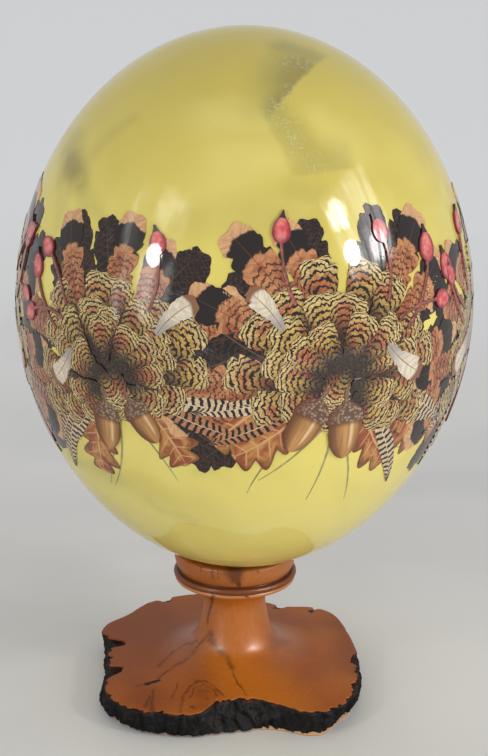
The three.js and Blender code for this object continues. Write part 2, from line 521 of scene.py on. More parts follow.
# painted shade at the top, where less light falls, and painted light at the foot
painted_top_shade = ramp(tree, height, TOP_SHADE_FROM, TOP_SHADE_AT, 0.0, 0.9)
painted_foot_light = ramp(tree, height, FOOT_LIGHT_FROM, FOOT_LIGHT_AT, 0.0, 0.55)
ground = painted(tree, colour(YELLOW), YELLOW_DEEP, deep, 0.8)
ground = painted(tree, ground, YELLOW_PALE, pale, 0.5)
ground = painted(tree, ground, YELLOW_DEEP, painted_top_shade)
ground = painted(tree, ground, YELLOW_PALE, painted_foot_light)


def laid_strokes(tree, place, strokes, softness, waver, waver_size, kept=(1, 1, 1)):
    """One mask for a list of strokes, each from a point to a point with its two half widths.

    Kept holds 0 for an axis that doesn't count, such as the last one for strokes that are seen from above.
    """
    place = placed(tree, unsteady, Place=place, Waver=waver, Waver_Size=waver_size)["Place"]
    place = vector(tree, "MULTIPLY", place, kept)
    total = None
    for start, end, width, end_width in strokes:
        ends = {"From": start, "To": end, "Width": width, "End_Width": end_width}
        mask = placed(tree, stroke, Place=place, Softness=softness, **ends)["Mask"]
        total = mask if total is None else maths(tree, "MAXIMUM", total, mask)
    return total


def stencilled(tree, place, first, second, softness):
    """1 on the left of the straight line from one point of the shell to another, seen from outside."""
    across_line = tuple(Vector(first).cross(Vector(second)).normalized())
    place = placed(tree, unsteady, Place=place, Waver=0.8, Waver_Size=4.0)["Place"]
    return ramp(tree, vector(tree, "DOT_PRODUCT", place, across_line, output="Value"), -softness, softness)


bright = laid_strokes(tree, place, BRIGHT_PATCHES, 1.0, 3.0, 12.0)
ground = painted(tree, ground, YELLOW_PALE, bright, 0.34)
faint = laid_strokes(tree, place, FAINT_DRIFTS, 0.95, 3.0, 11.0)
ground = painted(tree, ground, OLIVE_SMOKE, faint, 0.22)
uneven = placed(tree, cloud, Place=place, Size=9.0, Detail=3.0, Start=0.26, End=0.62)["Mask"]
patchy = ramp(tree, uneven, 0.0, 1.0, 0.6, 1.0)
tail = laid_strokes(tree, place, CROWN_TAIL, 0.85, 3.0, 11.0)
for first, second in TAIL_EDGES:
    tail = times(tree, tail, stencilled(tree, place, first, second, 0.9))
ground = painted(tree, ground, OLIVE_SMOKE, tail, 0.40)
crown_edge = stencilled(tree, place, *CROWN_EDGE, 0.8)
drifted = laid_strokes(tree, place, DRIFTS, 0.9, 3.0, 11.0)
drifted = times(tree, drifted, patchy)
crown_drift = times(tree, laid_strokes(tree, place, CROWN_DRIFT, 0.8, 2.0, 11.0), crown_edge)
drifted = maths(tree, "MAXIMUM", drifted, crown_drift)
ground = painted(tree, ground, OLIVE_SMOKE, drifted, 0.66)
browner = laid_strokes(tree, place, HEARTS, 1.0, 2.0, 8.0)
browner = times(tree, browner, drifted)
ground = painted(tree, ground, BROWN_SMOKE, browner, 0.60)
smudged = laid_strokes(tree, place, SMUDGES, 1.0, 4.0, 9.0)
smudged = times(tree, smudged, uneven)
ground = painted(tree, ground, GREY_SMOKE, smudged, 0.32)

cells = node(tree, "ShaderNodeTexVoronoi", {"Vector": place, "Scale": 0.95}, feature="DISTANCE_TO_EDGE")
cracks = ramp(tree, cells.outputs["Distance"], 0.03, 0.17, 1.0, 0.0)
broken = placed(tree, cloud, Place=place, Size=1.5, Detail=2.0, Warp=1.0, Start=0.50, End=0.60)["Mask"]
crazed = laid_strokes(tree, place, CRAZED, 0.9, 1.5, 3.0)
cracks = times(tree, cracks, times(tree, broken, crazed))
ground = painted(tree, ground, CRAZING_PALE, cracks, 0.42)

dots = node(tree, "ShaderNodeTexVoronoi", {"Vector": place, "Scale": 0.16})
dot = ramp(tree, dots.outputs["Distance"], 0.018, 0.035, 1.0, 0.0)
ground = painted(tree, ground, SPECK_BROWN, dot, 0.4)
tree.links.new(ground, shader.inputs["Base Color"])

# The lacquer levels out nearly all of the shell's pores, and lies over the paper cut-outs as well.
inputs = {"Place": ("NodeSocketVector", (0, 0, 0))}
lacquer, given, out = soft_group("lacquer", inputs, {"Height": "NodeSocketFloat"})
pore = node(lacquer, "ShaderNodeTexVoronoi", {"Vector": given["Place"], "Scale": 0.5})
pitted = ramp(lacquer, pore.outputs["Distance"], 0.05, 0.24)
peel = mottled(lacquer, given["Place"], 0.22)
lacquer.links.new(maths(lacquer, "MULTIPLY_ADD", pitted, 0.25, peel), out["Height"])


def lacquered(tree, shader, place):
    """Joins the lacquer's fine unevenness to a shader's gloss."""
    height = placed(tree, lacquer, Place=place)["Height"]
    bump = node(tree, "ShaderNodeBump", {"Height": height, "Strength": 0.25, "Distance": 0.00006})
    tree.links.new(bump.outputs["Normal"], shader.inputs["Normal"])
    tree.links.new(bump.outputs["Normal"], shader.inputs["Coat Normal"])


lacquered(tree, shader, place)

egg.data.materials.append(painted_shell)
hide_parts("egg")
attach(egg, "root")


# ------------------------------------------------------------------------ the garland's dark plumes
# The egg wears a garland of printed paper cut-outs, glued on in layers and lacquered over. It is made of
# six sprays that run into each other. The lowest layer of each spray is a fan of nearly black plumes.
SPRAYS = 6
FIRST_SPRAY = math.radians(-35)
# each spray's tilt in degrees, its rise in millimetres and its size
SPRAY_PLACES = ((14, 1, 0.98), (-9, 4, 1.06), (6, -2, 0.96), (-13, 2, 1.02), (10, 3, 0.95), (-6, -1, 1.04))
# each cut-out's upper face lies one step above that of the one before, and its lower face just inside
# the shell
PAPER_STEP = 0.000009
PAPER_FOOT = -0.00003
MERIDIAN_RADIUS = 0.0745
FAN_FOOT = (0, -8)
# a face that turns further than this from the shell is a cut edge: the cosine of the angle between them
CUT_EDGE = 0.5


def cutout(name, length, width, bend, rows, columns, slant=0.0):
    """A flat paper cut-out along a bent spine, with its upper face at height 1 and its lower at 0.

    The width is a function of the share of the length and the side. The slant is how far the edges run
    ahead of the spine. The map "sheet" holds the share along, and the share across from -1 to 1.
    """
    places, shares = [], []
    for row in range(rows + 1):
        u = row / rows
        lean = bend * u
        spine = Vector(((math.cos(lean) - 1) / bend, math.sin(lean) / bend)) * length
        ahead = Vector((-math.sin(lean), math.cos(lean)))
        sideways = Vector((math.cos(lean), math.sin(lean)))
        for column in range(columns + 1):
            v = 2 * column / columns - 1
            reach = width(u, 1 if v > 0 else -1)
            place = spine + v * reach * sideways + abs(v) * reach * slant * ahead
            places.append((place.x * MILLIMETRE, place.y * MILLIMETRE, 1))
            shares.append((u, v))
    across = columns + 1
    lower = len(places)
    for row in range(rows + 1):
        for corner in (row * across, row * across + columns):
            places.append((*places[corner][:2], 0))
            shares.append(shares[corner])
    faces = [(*range(columns, -1, -1), lower, lower + 1)]
    for row in range(rows):
        start = row * across
        for i in range(start, start + columns):
            faces.append((i, i + 1, i + 1 + across, i + across))
        left, right = lower + 2 * row, lower + 2 * row + 1
        faces.append((left, left + 2, right + 2, right))
        faces.append((start, start + across, left + 2, left))
        faces.append((start + columns, right, right + 2, start + columns + across))
    tip = rows * across
    faces.append((*range(tip, tip + across), lower + 2 * rows + 1, lower + 2 * rows))
    made = mesh_object(name, places, faces)
    sheet = made.data.uv_layers.new(name="sheet")
    corners = [share for loop in made.data.loops for share in shares[loop.vertex_index]]
    sheet.data.foreach_set("uv", corners)
    return made


# Cut-outs are laid on points of a flat strip as long as the egg is round. The strip is then wrapped round
# the shell, and each cut-out's upper face ends up at its own height above it.
glue = bpy.data.node_groups.new("glued on the shell", "GeometryNodeTree")
for label, kind in (
    ("Geometry", "NodeSocketGeometry"),
    ("Cut-outs", "NodeSocketCollection"),
    ("Paper", "NodeSocketMaterial"),
    ("Radius", "NodeSocketFloat"),
    ("Half Length", "NodeSocketFloat"),
    ("Meridian Radius", "NodeSocketFloat"),
    ("Blunt End", "NodeSocketFloat"),
    ("Pointed Ends", "NodeSocketFloat"),
    ("Foot", "NodeSocketFloat"),
    ("Place", "NodeSocketVector"),
    ("Lean", "NodeSocketVector"),
):
    glue.interface.new_socket(label, in_out="INPUT", socket_type=kind)
glue.interface.new_socket("Geometry", in_out="OUTPUT", socket_type="NodeSocketGeometry")
given = node(glue, "NodeGroupInput").outputs


def attribute(tree, name, kind="FLOAT"):
    found = node(tree, "GeometryNodeInputNamedAttribute", {"Name": name}, data_type=kind)
    return found.outputs["Attribute"]


inputs = {"Collection": given["Cut-outs"], "Separate Children": True}
chosen = node(glue, "GeometryNodeCollectionInfo", inputs)
turned = node(glue, "ShaderNodeCombineXYZ", {"Z": attribute(glue, "turn")}).outputs[0]
size = attribute(glue, "size")
sized = node(glue, "ShaderNodeCombineXYZ", {"X": size, "Y": size, "Z": 1.0}).outputs[0]
inputs = {
    "Points": given["Geometry"],
    "Instance": chosen.outputs["Instances"],
    "Pick Instance": True,
    "Instance Index": attribute(glue, "which", "INT"),
    "Rotation": node(glue, "FunctionNodeEulerToRotation", {"Euler": turned}).outputs["Rotation"],
    "Scale": sized,
}
laid = node(glue, "GeometryNodeInstanceOnPoints", inputs).outputs["Instances"]
strip = node(glue, "GeometryNodeRealizeInstances", {"Geometry": laid}).outputs["Geometry"]
flat = node(glue, "GeometryNodeInputPosition").outputs["Position"]
strip_x, strip_y, strip_z = node(glue, "ShaderNodeSeparateXYZ", {0: flat}).outputs
height = maths(glue, "SUBTRACT", attribute(glue, "lift"), given["Foot"])
height = maths(glue, "MULTIPLY_ADD", height, strip_z, given["Foot"])
longitude = maths(glue, "DIVIDE", strip_x, given["Radius"])
latitude = maths(glue, "DIVIDE", strip_y, given["Meridian Radius"])
level = maths(glue, "SINE", latitude)
fullness = maths(glue, "MULTIPLY_ADD", level, given["Pointed Ends"], given["Blunt End"])
fullness = maths(glue, "MULTIPLY_ADD", fullness, level, 1.0)
reach = times(glue, maths(glue, "ADD", given["Radius"], height), maths(glue, "COSINE", latitude))
reach = times(glue, reach, fullness)
inputs = {
    "X": times(glue, reach, maths(glue, "SINE", longitude)),
    "Y": times(glue, reach, times(glue, maths(glue, "COSINE", longitude), -1.0)),
    "Z": times(glue, maths(glue, "ADD", given["Half Length"], height), level),
}
wrapped = node(glue, "ShaderNodeCombineXYZ", inputs).outputs[0]
wound = node(glue, "GeometryNodeSetPosition", {"Geometry": strip, "Position": wrapped}).outputs["Geometry"]
inputs = {"Geometry": wound, "Translation": given["Place"], "Rotation": given["Lean"]}
leaning = node(glue, "GeometryNodeTransform", inputs).outputs["Geometry"]
inputs = {"Geometry": leaning, "Material": given["Paper"]}
papered = node(glue, "GeometryNodeSetMaterial", inputs).outputs["Geometry"]
glue.links.new(papered, node(glue, "NodeGroupOutput").inputs["Geometry"])


def shell_normals(places):
    """The shell's own normals, so that the lacquer over the paper shines as the shell does."""
    inside = moved(places, egg_place.inverted())
    level = np.clip(inside[:, 2] / half_length, -0.999, 0.999)
    flat = np.sqrt(1 - level**2)
    fullness = 1 + BLUNT_END * level + POINTED_ENDS * level**2
    slope = EGG_RADIUS * (flat * (BLUNT_END + 2 * POINTED_ENDS * level) - level / flat * fullness)
    around = np.arctan2(inside[:, 0], -inside[:, 1])
    normals = np.stack([half_length * np.sin(around), -half_length * np.cos(around), -slope], -1)
    normals /= np.linalg.norm(normals, axis=1)[:, None]
    return normals @ np.array(egg_place.to_3x3()).T


def lay_flat(mesh):
    """Shades the cut-outs' upper faces as the shell is shaded, and leaves their cut edges as they are."""
    places = np.zeros(3 * len(mesh.vertices))
    mesh.vertices.foreach_get("co", places)
    corners = np.zeros(len(mesh.loops), dtype=np.int32)
    mesh.loops.foreach_get("vertex_index", corners)
    faces = np.zeros(3 * len(mesh.polygons))
    mesh.polygons.foreach_get("normal", faces)
    corner_counts = np.zeros(len(mesh.polygons), dtype=np.int32)
    mesh.polygons.foreach_get("loop_total", corner_counts)
    faces = np.repeat(faces.reshape(-1, 3), corner_counts, axis=0)
    normals = shell_normals(places.reshape(-1, 3))[corners]
    edges = (normals * faces).sum(1) < CUT_EDGE
    normals[edges] = faces[edges]
    mesh.normals_split_custom_set(normals.tolist())


def glued(name, cutouts, sprigs, material, first_layer, seed):
    """One kind of cut-out glued all round the egg: a copy of each sprig in each spray of the garland.

    A sprig is its place from the spray's middle in millimetres, its turn in degrees and its size. Every
    other spray is mirrored, and each copy differs a little.
    """
    chance = random.Random(seed)
    places, turns, sizes, lifts, tints, kinds = [], [], [], [], [], []
    for spray, (degrees, rise, grown) in enumerate(SPRAY_PLACES):
        side = 1 - 2 * (spray % 2)
        tilt = math.radians(degrees)
        start = EGG_RADIUS * (FIRST_SPRAY + 2 * math.pi * spray / SPRAYS)
        for order, (x, y, turn, size) in enumerate(sprigs):
            x = grown * (side * x + chance.uniform(-1, 1))
            y = grown * (y + chance.uniform(-1, 1))
            tilted_x = x * math.cos(tilt) - y * math.sin(tilt)
            tilted_y = x * math.sin(tilt) + y * math.cos(tilt) + rise
            places.append((start + tilted_x * MILLIMETRE, tilted_y * MILLIMETRE, 0))
            turns.append(math.radians(side * turn + chance.uniform(-7, 7)) + tilt)
            sizes.append(grown * size * chance.uniform(0.88, 1.12))
            lifts.append(PAPER_STEP * (2 + first_layer + order + 0.5 * (spray % 2)))
            tints.append(chance.random())
            kinds.append(chance.randrange(len(cutouts)))
    made = mesh_object(name, places, [])
    for label, values in (("turn", turns), ("size", sizes), ("lift", lifts), ("tint", tints)):
        made.data.attributes.new(label, "FLOAT", "POINT").data.foreach_set("value", values)
    made.data.attributes.new("which", "INT", "POINT").data.foreach_set("value", kinds)

    drawer = bpy.data.collections.new(name + " cut-outs")
    bpy.context.scene.collection.children.link(drawer)
    for one in cutouts:
        drawer.objects.link(one)
    modifier = made.modifiers.new("glue", "NODES")
    modifier.node_group = glue
    values = {
        "Cut-outs": drawer,
        "Paper": material,
        "Radius": EGG_RADIUS,
        "Half Length": half_length,
        "Meridian Radius": MERIDIAN_RADIUS,
        "Blunt End": BLUNT_END,
        "Pointed Ends": POINTED_ENDS,
        "Foot": PAPER_FOOT,
        "Place": tuple(egg_place.translation),
        "Lean": (0.0, EGG_LEAN, 0.0),
    }
    for socket in glue.interface.items_tree:
        if socket.in_out == "INPUT" and socket.name in values:
            modifier[socket.identifier] = values[socket.name]
    graph = bpy.context.evaluated_depsgraph_get()
    mesh = bpy.data.meshes.new_from_object(made.evaluated_get(graph), depsgraph=graph)
    made.modifiers.clear()
    made.data = mesh
    for one in cutouts:
        bpy.data.objects.remove(one)
    bpy.data.collections.remove(drawer)

    lay_flat(mesh)
    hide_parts("egg")
    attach(made, "root")


def fan(turns, foot, radius, size):
    """Sprigs that spread from a foot, each pointing away from it."""
    sprigs = []
    for turn in turns:
        angle = math.radians(turn)
        sprigs.append((foot[0] - radius * math.sin(angle), foot[1] + radius * math.cos(angle), turn, size))
    return sprigs


def feather_edge(half_width, tip_power, chance):
    """A feather's half width: fullest past its middle, ragged, and split here and there between barbs."""
    splits = {side: [chance.uniform(0.25, 0.92) for _ in range(3)] for side in (-1, 1)}
    phases = {side: chance.uniform(0, 9) for side in (-1, 1)}

    def width(u, side):
        base = min(1, 0.10 + 1.25 * u) ** 0.7
        tip = max(0.0, 1 - u**tip_power) ** 0.5
        parted = sum(math.exp(-(((u - split) / 0.016) ** 2)) for split in splits[side])
        phase = phases[side]
        frayed = 1 + 0.035 * math.sin(61 * u + phase) + 0.025 * math.sin(133 * u + 2 * phase)
        return max(0.06, half_width * base * tip * frayed * (1 - 0.34 * min(1, parted)))

    return width


# the streaks of a feather's barbs, and its shaft
barbs, given, out = soft_group(
    "barbs",
    {
        "Along": ("NodeSocketFloat", 0.0),
        "Across": ("NodeSocketFloat", 0.0),
        "Tint": ("NodeSocketFloat", 0.0),
        "Count": ("NodeSocketFloat", 60.0),
        "Shaft": ("NodeSocketFloat", 0.05),
    },
    {"Streaks": "NodeSocketFloat", "Shaft": "NodeSocketFloat"},
)
inputs = {
    0: times(barbs, given["Along"], given["Count"]),
    1: times(barbs, given["Across"], 1.4),
    2: times(barbs, given["Tint"], 40.0),
}
barb_place = node(barbs, "ShaderNodeCombineXYZ", inputs).outputs[0]
streaks = mottled(barbs, barb_place, detail=4.0)
barbs.links.new(ramp(barbs, streaks, 0.32, 0.68), out["Streaks"])
aside = maths(barbs, "ABSOLUTE", given["Across"])
narrowing = maths(barbs, "MULTIPLY_ADD", given["Along"], -0.8, 1.0)
shaft_edge = times(barbs, given["Shaft"], narrowing)
inner = times(barbs, shaft_edge, 0.5)
barbs.links.new(ramp(barbs, aside, inner, shaft_edge, 1.0, 0.0), out["Shaft"])


def printed(name):
    """Glossy printed paper, with where each point is on its own cut-out and the cut-out's chance number."""
    material, tree, shader = new_material(name, **LACQUERED)
    sheet = node(tree, "ShaderNodeUVMap", uv_map="sheet").outputs["UV"]
    along, across, _ = node(tree, "ShaderNodeSeparateXYZ", {0: sheet}).outputs
    tint = node(tree, "ShaderNodeAttribute", attribute_name="tint").outputs["Fac"]
    lacquered(tree, shader, object_place(tree, middle=tuple(egg_middle)))
    return material, tree, shader, along, across, tint


def print_noise(tree, along, across, tint, along_scale, across_scale, detail=3.0):
    """Noise on a cut-out, drawn out by its two scales, and another pattern for each chance number."""
    inputs = {
        0: times(tree, along, along_scale),
        1: times(tree, across, across_scale),
        2: times(tree, tint, 25.0),
    }
    return mottled(tree, node(tree, "ShaderNodeCombineXYZ", inputs).outputs[0], detail=detail)


def bowed(tree, along, across, ahead, bow):
    """The share along a feather's shaft, in lines that bow towards its tip, where its barbs are slanted."""
    straight = maths(tree, "MULTIPLY_ADD", maths(tree, "ABSOLUTE", across), ahead, along)
    return maths(tree, "MULTIPLY_ADD", times(tree, across, across), bow, straight)


def bars(tree, place, count, wobble, shake, thin, thick):
    """Wavy bars, dark where the mask is 1, from their count, how far they stray and their two edges."""
    strayed = maths(tree, "MULTIPLY_ADD", place, count, times(tree, wobble, shake))
    return ramp(tree, maths(tree, "SINE", times(tree, strayed, 2 * math.pi)), thin, thick)


PLUME_LENGTH = 39
PLUME_WIDTH = 5.6
PLUME_BLACK = (0.008, 0.006, 0.006)
PLUME_BROWN = (0.070, 0.028, 0.015)
PLUME_SLATE = (0.085, 0.100, 0.120)
PLUME_SHAFT = (0.120, 0.075, 0.050)

dark_plume, tree, shader, along, across, tint = printed("dark plume print")
feathered = placed(tree, barbs, Along=along, Across=across, Tint=tint, Count=70.0, Shaft=0.07)
brown = times(tree, ramp(tree, feathered["Streaks"], 0.5, 1.0), 0.7)
surface = painted(tree, colour(PLUME_BLACK), PLUME_BROWN, brown)
across_bars = bowed(tree, along, across, 0.09, 0.05)
wobble = print_noise(tree, along, across, tint, 14.0, 4.0)
faint_bars = bars(tree, across_bars, 22.0, wobble, 1.5, 0.3, 0.9)
surface = painted(tree, surface, PLUME_BROWN, faint_bars, 0.55)
sheen = ramp(tree, print_noise(tree, along, across, tint, 5.0, 1.0), 0.54, 0.70)
sheen = times(tree, sheen, ramp(tree, feathered["Streaks"], 0.1, 0.7))
surface = painted(tree, surface, PLUME_SLATE, sheen, 0.7)
surface = painted(tree, surface, PLUME_SHAFT, feathered["Shaft"])
tree.links.new(surface, shader.inputs["Base Color"])

chance = random.Random(11)
plumes = [
    cutout(f"plume {i}", PLUME_LENGTH, feather_edge(PLUME_WIDTH, 5, chance), bend, 44, 8, slant=0.75)
    for i, bend in enumerate((0.35, -0.4, 0.15))
]
sprigs = fan((122, -124, 101, -99, 78, -76, 55, -54, 33, -35, 10, -12), FAN_FOOT, 4, 1.0)
glued("garland_dark_plumes", plumes, sprigs, dark_plume, first_layer=5, seed=21)

# one short, broad tuft of the same black backs the foot of each fan
TUFT_LENGTH = 17
TUFT_WIDTH = 8.5
tufts = [cutout("tuft", TUFT_LENGTH, feather_edge(TUFT_WIDTH, 4, chance), 0.1, 20, 8, slant=0.5)]
glued("garland_dark_tufts", tufts, [(-1, -15, 0, 1.1)], dark_plume, first_layer=30, seed=30)


# --------------------------------------------------------------------- the garland's barred feathers
# Over the plumes lies a fan of long russet feathers, each finely barred with black, with a black band near
# its end and a buff tip.
BARRED_LENGTH = 38
BARRED_WIDTH = 5.2
RUSSET = (0.400, 0.118, 0.045)
RUSSET_PALE = (0.580, 0.245, 0.100)
BAR_BLACK = (0.014, 0.008, 0.007)
TIP_BUFF = (0.720, 0.400, 0.190)
SHAFT_BROWN = (0.140, 0.050, 0.028)

barred_feather, tree, shader, along, across, tint = printed("barred feather print")
feathered = placed(tree, barbs, Along=along, Across=across, Tint=tint, Count=75.0, Shaft=0.05)
patchy = ramp(tree, print_noise(tree, along, across, tint, 4.0, 1.2), 0.38, 0.66)
surface = painted(tree, colour(RUSSET), RUSSET_PALE, patchy)
across_bars = bowed(tree, along, across, 0.08, 0.05)
wobble = print_noise(tree, along, across, tint, 16.0, 5.0)
fine_bars = bars(tree, across_bars, 21.0, wobble, 1.7, 0.30, 0.85)
surface = painted(tree, surface, BAR_BLACK, fine_bars, 0.85)
strayed = maths(tree, "MULTIPLY_ADD", wobble, 0.04, across_bars)
surface = painted(tree, surface, RUSSET_PALE, ramp(tree, strayed, 0.74, 0.76))
surface = painted(tree, surface, BAR_BLACK, ramp(tree, strayed, 0.79, 0.81))
surface = painted(tree, surface, TIP_BUFF, ramp(tree, strayed, 0.955, 0.975))
streaked = times(tree, feathered["Streaks"], 0.34)
surface = painted(tree, surface, BAR_BLACK, streaked)
surface = painted(tree, surface, SHAFT_BROWN, feathered["Shaft"])
# painted shade: each feather's foot is darkened, as if shaded by the cut-outs laid over it
base_shade = ramp(tree, along, 0.05, 0.50, 0.70, 0.0)
surface = painted(tree, surface, BAR_BLACK, base_shade)
tree.links.new(surface, shader.inputs["Base Color"])

chance = random.Random(12)
barred = [
    cutout(f"barred {i}", BARRED_LENGTH, feather_edge(BARRED_WIDTH, 9, chance), bend, 46, 8, slant=0.6)
    for i, bend in enumerate((0.2, -0.22, 0.4))
]
sprigs = fan((100, -104, 74, -66, 47, -41, 22, -17), FAN_FOOT, 8, 1.0)
glued("garland_barred_feathers", barred, sprigs, barred_feather, first_layer=22, seed=22)


# -------------------------------------------------------------------------------- the garland's grass
# Thin blades of dry grass lie under the leaves, printed a faint grey-olive that nearly sinks into the
# yellow.
GRASS_LENGTH = 27
GRASS_WIDTH = 0.42
GRASS_OLIVE = (0.270, 0.250, 0.095)
GRASS_GREY = (0.420, 0.400, 0.190)


def blade_edge(u, side):
    return GRASS_WIDTH * (1.1 - u) ** 0.6


grass_print, tree, shader, along, across, tint = printed("grass print")
faded = ramp(tree, print_noise(tree, along, across, tint, 9.0, 0.5), 0.36, 0.64)
tree.links.new(painted(tree, colour(GRASS_OLIVE), GRASS_GREY, faded), shader.inputs["Base Color"])
blades = [
    cutout(f"blade {i}", GRASS_LENGTH, blade_edge, bend, 26, 2)
    for i, bend in enumerate((0.7, -0.8, 0.4, -0.3))
]
sprigs = fan((128, -134, 151, -158, 172), (0, -14), 4, 1.0)
glued("garland_grass", blades, sprigs, grass_print, first_layer=0, seed=27)


# -------------------------------------------------------------------------- the garland's oak leaves
# Dry oak leaves hang from the foot of each fan. They are printed red-brown, with ochre patches and pale
# veins.
LEAF_LENGTH = 29
LEAF_WIDTH = 9.0
LEAF_STALK = 0.10
LEAF_STALK_WIDTH = 0.35
LEAF_RUSSET = (0.300, 0.070, 0.026)
LEAF_OCHRE = (0.520, 0.240, 0.062)
LEAF_DARK = (0.045, 0.016, 0.010)
LEAF_VEIN = (0.600, 0.350, 0.150)
LEAF_LOBES = 4


def oak_edge(half_width, chance):
    """An oak leaf's half width: a narrow stalk, then lobes that are larger in its outer half."""
    shifts = {side: chance.uniform(-0.25, 0.25) for side in (-1, 1)}

    def width(u, side):
        if u < LEAF_STALK:
            return LEAF_STALK_WIDTH
        body = (u - LEAF_STALK) / (1 - LEAF_STALK)
        outline = math.sin(math.pi * body**1.25) ** 0.6 * (1 - 0.12 * body) if body < 1 else 0
        lobe = 0.5 - 0.5 * math.cos(2 * math.pi * (LEAF_LOBES * body + shifts[side]))
        return max(0.12, half_width * outline * (0.50 + 0.50 * lobe**0.6))

    return width


oak_leaf, tree, shader, along, across, tint = printed("oak leaf print")
aside = maths(tree, "ABSOLUTE", across)
patchy = ramp(tree, print_noise(tree, along, across, tint, 6.0, 2.4, 5.0), 0.40, 0.64)
surface = painted(tree, colour(LEAF_RUSSET), LEAF_OCHRE, patchy)
edge_shade = ramp(tree, aside, 0.45, 1.0, 0.0, 0.55)
surface = painted(tree, surface, LEAF_DARK, edge_shade)
spotted = ramp(tree, print_noise(tree, along, across, tint, 38.0, 12.0), 0.60, 0.70, 0.0, 0.7)
surface = painted(tree, surface, LEAF_DARK, spotted)
midrib = ramp(tree, maths(tree, "MULTIPLY_ADD", along, 0.05, aside), 0.05, 0.11, 1.0, 0.0)
side_vein = maths(tree, "MULTIPLY_ADD", along, 2 * LEAF_LOBES, -0.45 * LEAF_LOBES)
side_vein = maths(tree, "PINGPONG", side_vein, 0.5)
side_vein = ramp(tree, side_vein, 0.03, 0.11, 0.75, 0.0)
side_vein = times(tree, side_vein, ramp(tree, aside, 0.5, 0.95, 1.0, 0.0))
surface = painted(tree, surface, LEAF_VEIN, maths(tree, "MAXIMUM", midrib, side_vein))
tree.links.new(surface, shader.inputs["Base Color"])

chance = random.Random(13)
leaves = [
    cutout(f"leaf {i}", LEAF_LENGTH, oak_edge(LEAF_WIDTH, chance), bend, 52, 10, slant=0.55)
    for i, bend in enumerate((0.5, -0.45, 0.25))
]
sprigs = [(-9, -10, 118, 1.0), (10, -9, -112, 0.95), (-5, -11, 152, 0.85), (6, -12, -150, 0.9)]
glued("garland_oak_leaves", leaves, sprigs, oak_leaf, first_layer=18, seed=23)


# ------------------------------------------------------------------------ the garland's quill feathers
# Slim pointed feathers hang out to both sides below the fan, checked in black and cream.
QUILL_LENGTH = 33
QUILL_WIDTH = 2.7
QUILL_CREAM = (0.700, 0.520, 0.320)
QUILL_TAN = (0.480, 0.210, 0.095)
QUILL_BLACK = (0.012, 0.009, 0.009)


def quill_edge(u, side):
    notched = 1 + 0.05 * math.sin(71 * u + 2 * side)
    return max(0.05, QUILL_WIDTH * min(1, 0.2 + 1.6 * u) * (1 - u**3) ** 0.9 * notched)


quill_feather, tree, shader, along, across, tint = printed("quill feather print")
feathered = placed(tree, barbs, Along=along, Across=across, Tint=tint, Count=66.0, Shaft=0.10)
surface = painted(tree, colour(QUILL_CREAM), QUILL_TAN, ramp(tree, tint, 0.4, 0.8))
across_bars = bowed(tree, along, across, 0.07, 0.0)
halved = maths(tree, "MULTIPLY_ADD", maths(tree, "GREATER_THAN", across, 0.0), 0.02, across_bars)
wobble = print_noise(tree, along, across, tint, 12.0, 3.0)
checks = bars(tree, halved, 17.0, wobble, 0.5, 0.0, 0.35)
surface = painted(tree, surface, QUILL_BLACK, checks)
surface = painted(tree, surface, QUILL_BLACK, feathered["Streaks"], 0.3)
surface = painted(tree, surface, QUILL_BLACK, ramp(tree, along, 0.86, 0.97))
surface = painted(tree, surface, QUILL_CREAM, feathered["Shaft"])
tree.links.new(surface, shader.inputs["Base Color"])

quills = [
    cutout(f"quill {i}", QUILL_LENGTH, quill_edge, bend, 40, 4, slant=0.8)
    for i, bend in enumerate((0.35, -0.3, 0.15))
]
sprigs = fan((131, -128, 119, -117, 108), (0, -6), 9, 1.0)
glued("garland_quill_feathers", quills, sprigs, quill_feather, first_layer=32, seed=26)


# ---------------------------------------------------------------------- the garland's gold feathers
# Small rounded feathers cover the fan's foot like tiles. They are gold, orange or brown, with thin black
# rings and a pale edge.
GOLD_LENGTH = 14.5
GOLD_WIDTH = 5.0
GOLD = (0.640, 0.400, 0.105)
GOLD_PALE = (0.800, 0.620, 0.270)
GOLD_ORANGE = (0.520, 0.160, 0.060)
SCALE_BLACK = (0.012, 0.008, 0.007)

gold_feather, tree, shader, along, across, tint = printed("gold feather print")
feathered = placed(tree, barbs, Along=along, Across=across, Tint=tint, Count=44.0, Shaft=0.06)
redness = print_noise(tree, along, across, tint, 2.4, 0.8)
surface = painted(tree, colour(GOLD), GOLD_ORANGE, ramp(tree, redness, 0.44, 0.60))
across_bars = bowed(tree, along, across, 0.15, 0.16)
surface = painted(tree, surface, GOLD_PALE, ramp(tree, across_bars, 0.72, 0.98, 0.0, 0.75))
wobble = print_noise(tree, along, across, tint, 11.0, 4.5)
black_rings = bars(tree, across_bars, 9.0, wobble, 1.5, 0.10, 0.62)
surface = painted(tree, surface, SCALE_BLACK, black_rings)
streaked = times(tree, feathered["Streaks"], 0.5)
surface = painted(tree, surface, SCALE_BLACK, streaked)
# painted shade: each feather's foot is darkened, as if shaded by the cut-outs laid over it
surface = painted(tree, surface, SCALE_BLACK, ramp(tree, along, 0.15, 0.72, 0.92, 0.0))
tree.links.new(surface, shader.inputs["Base Color"])

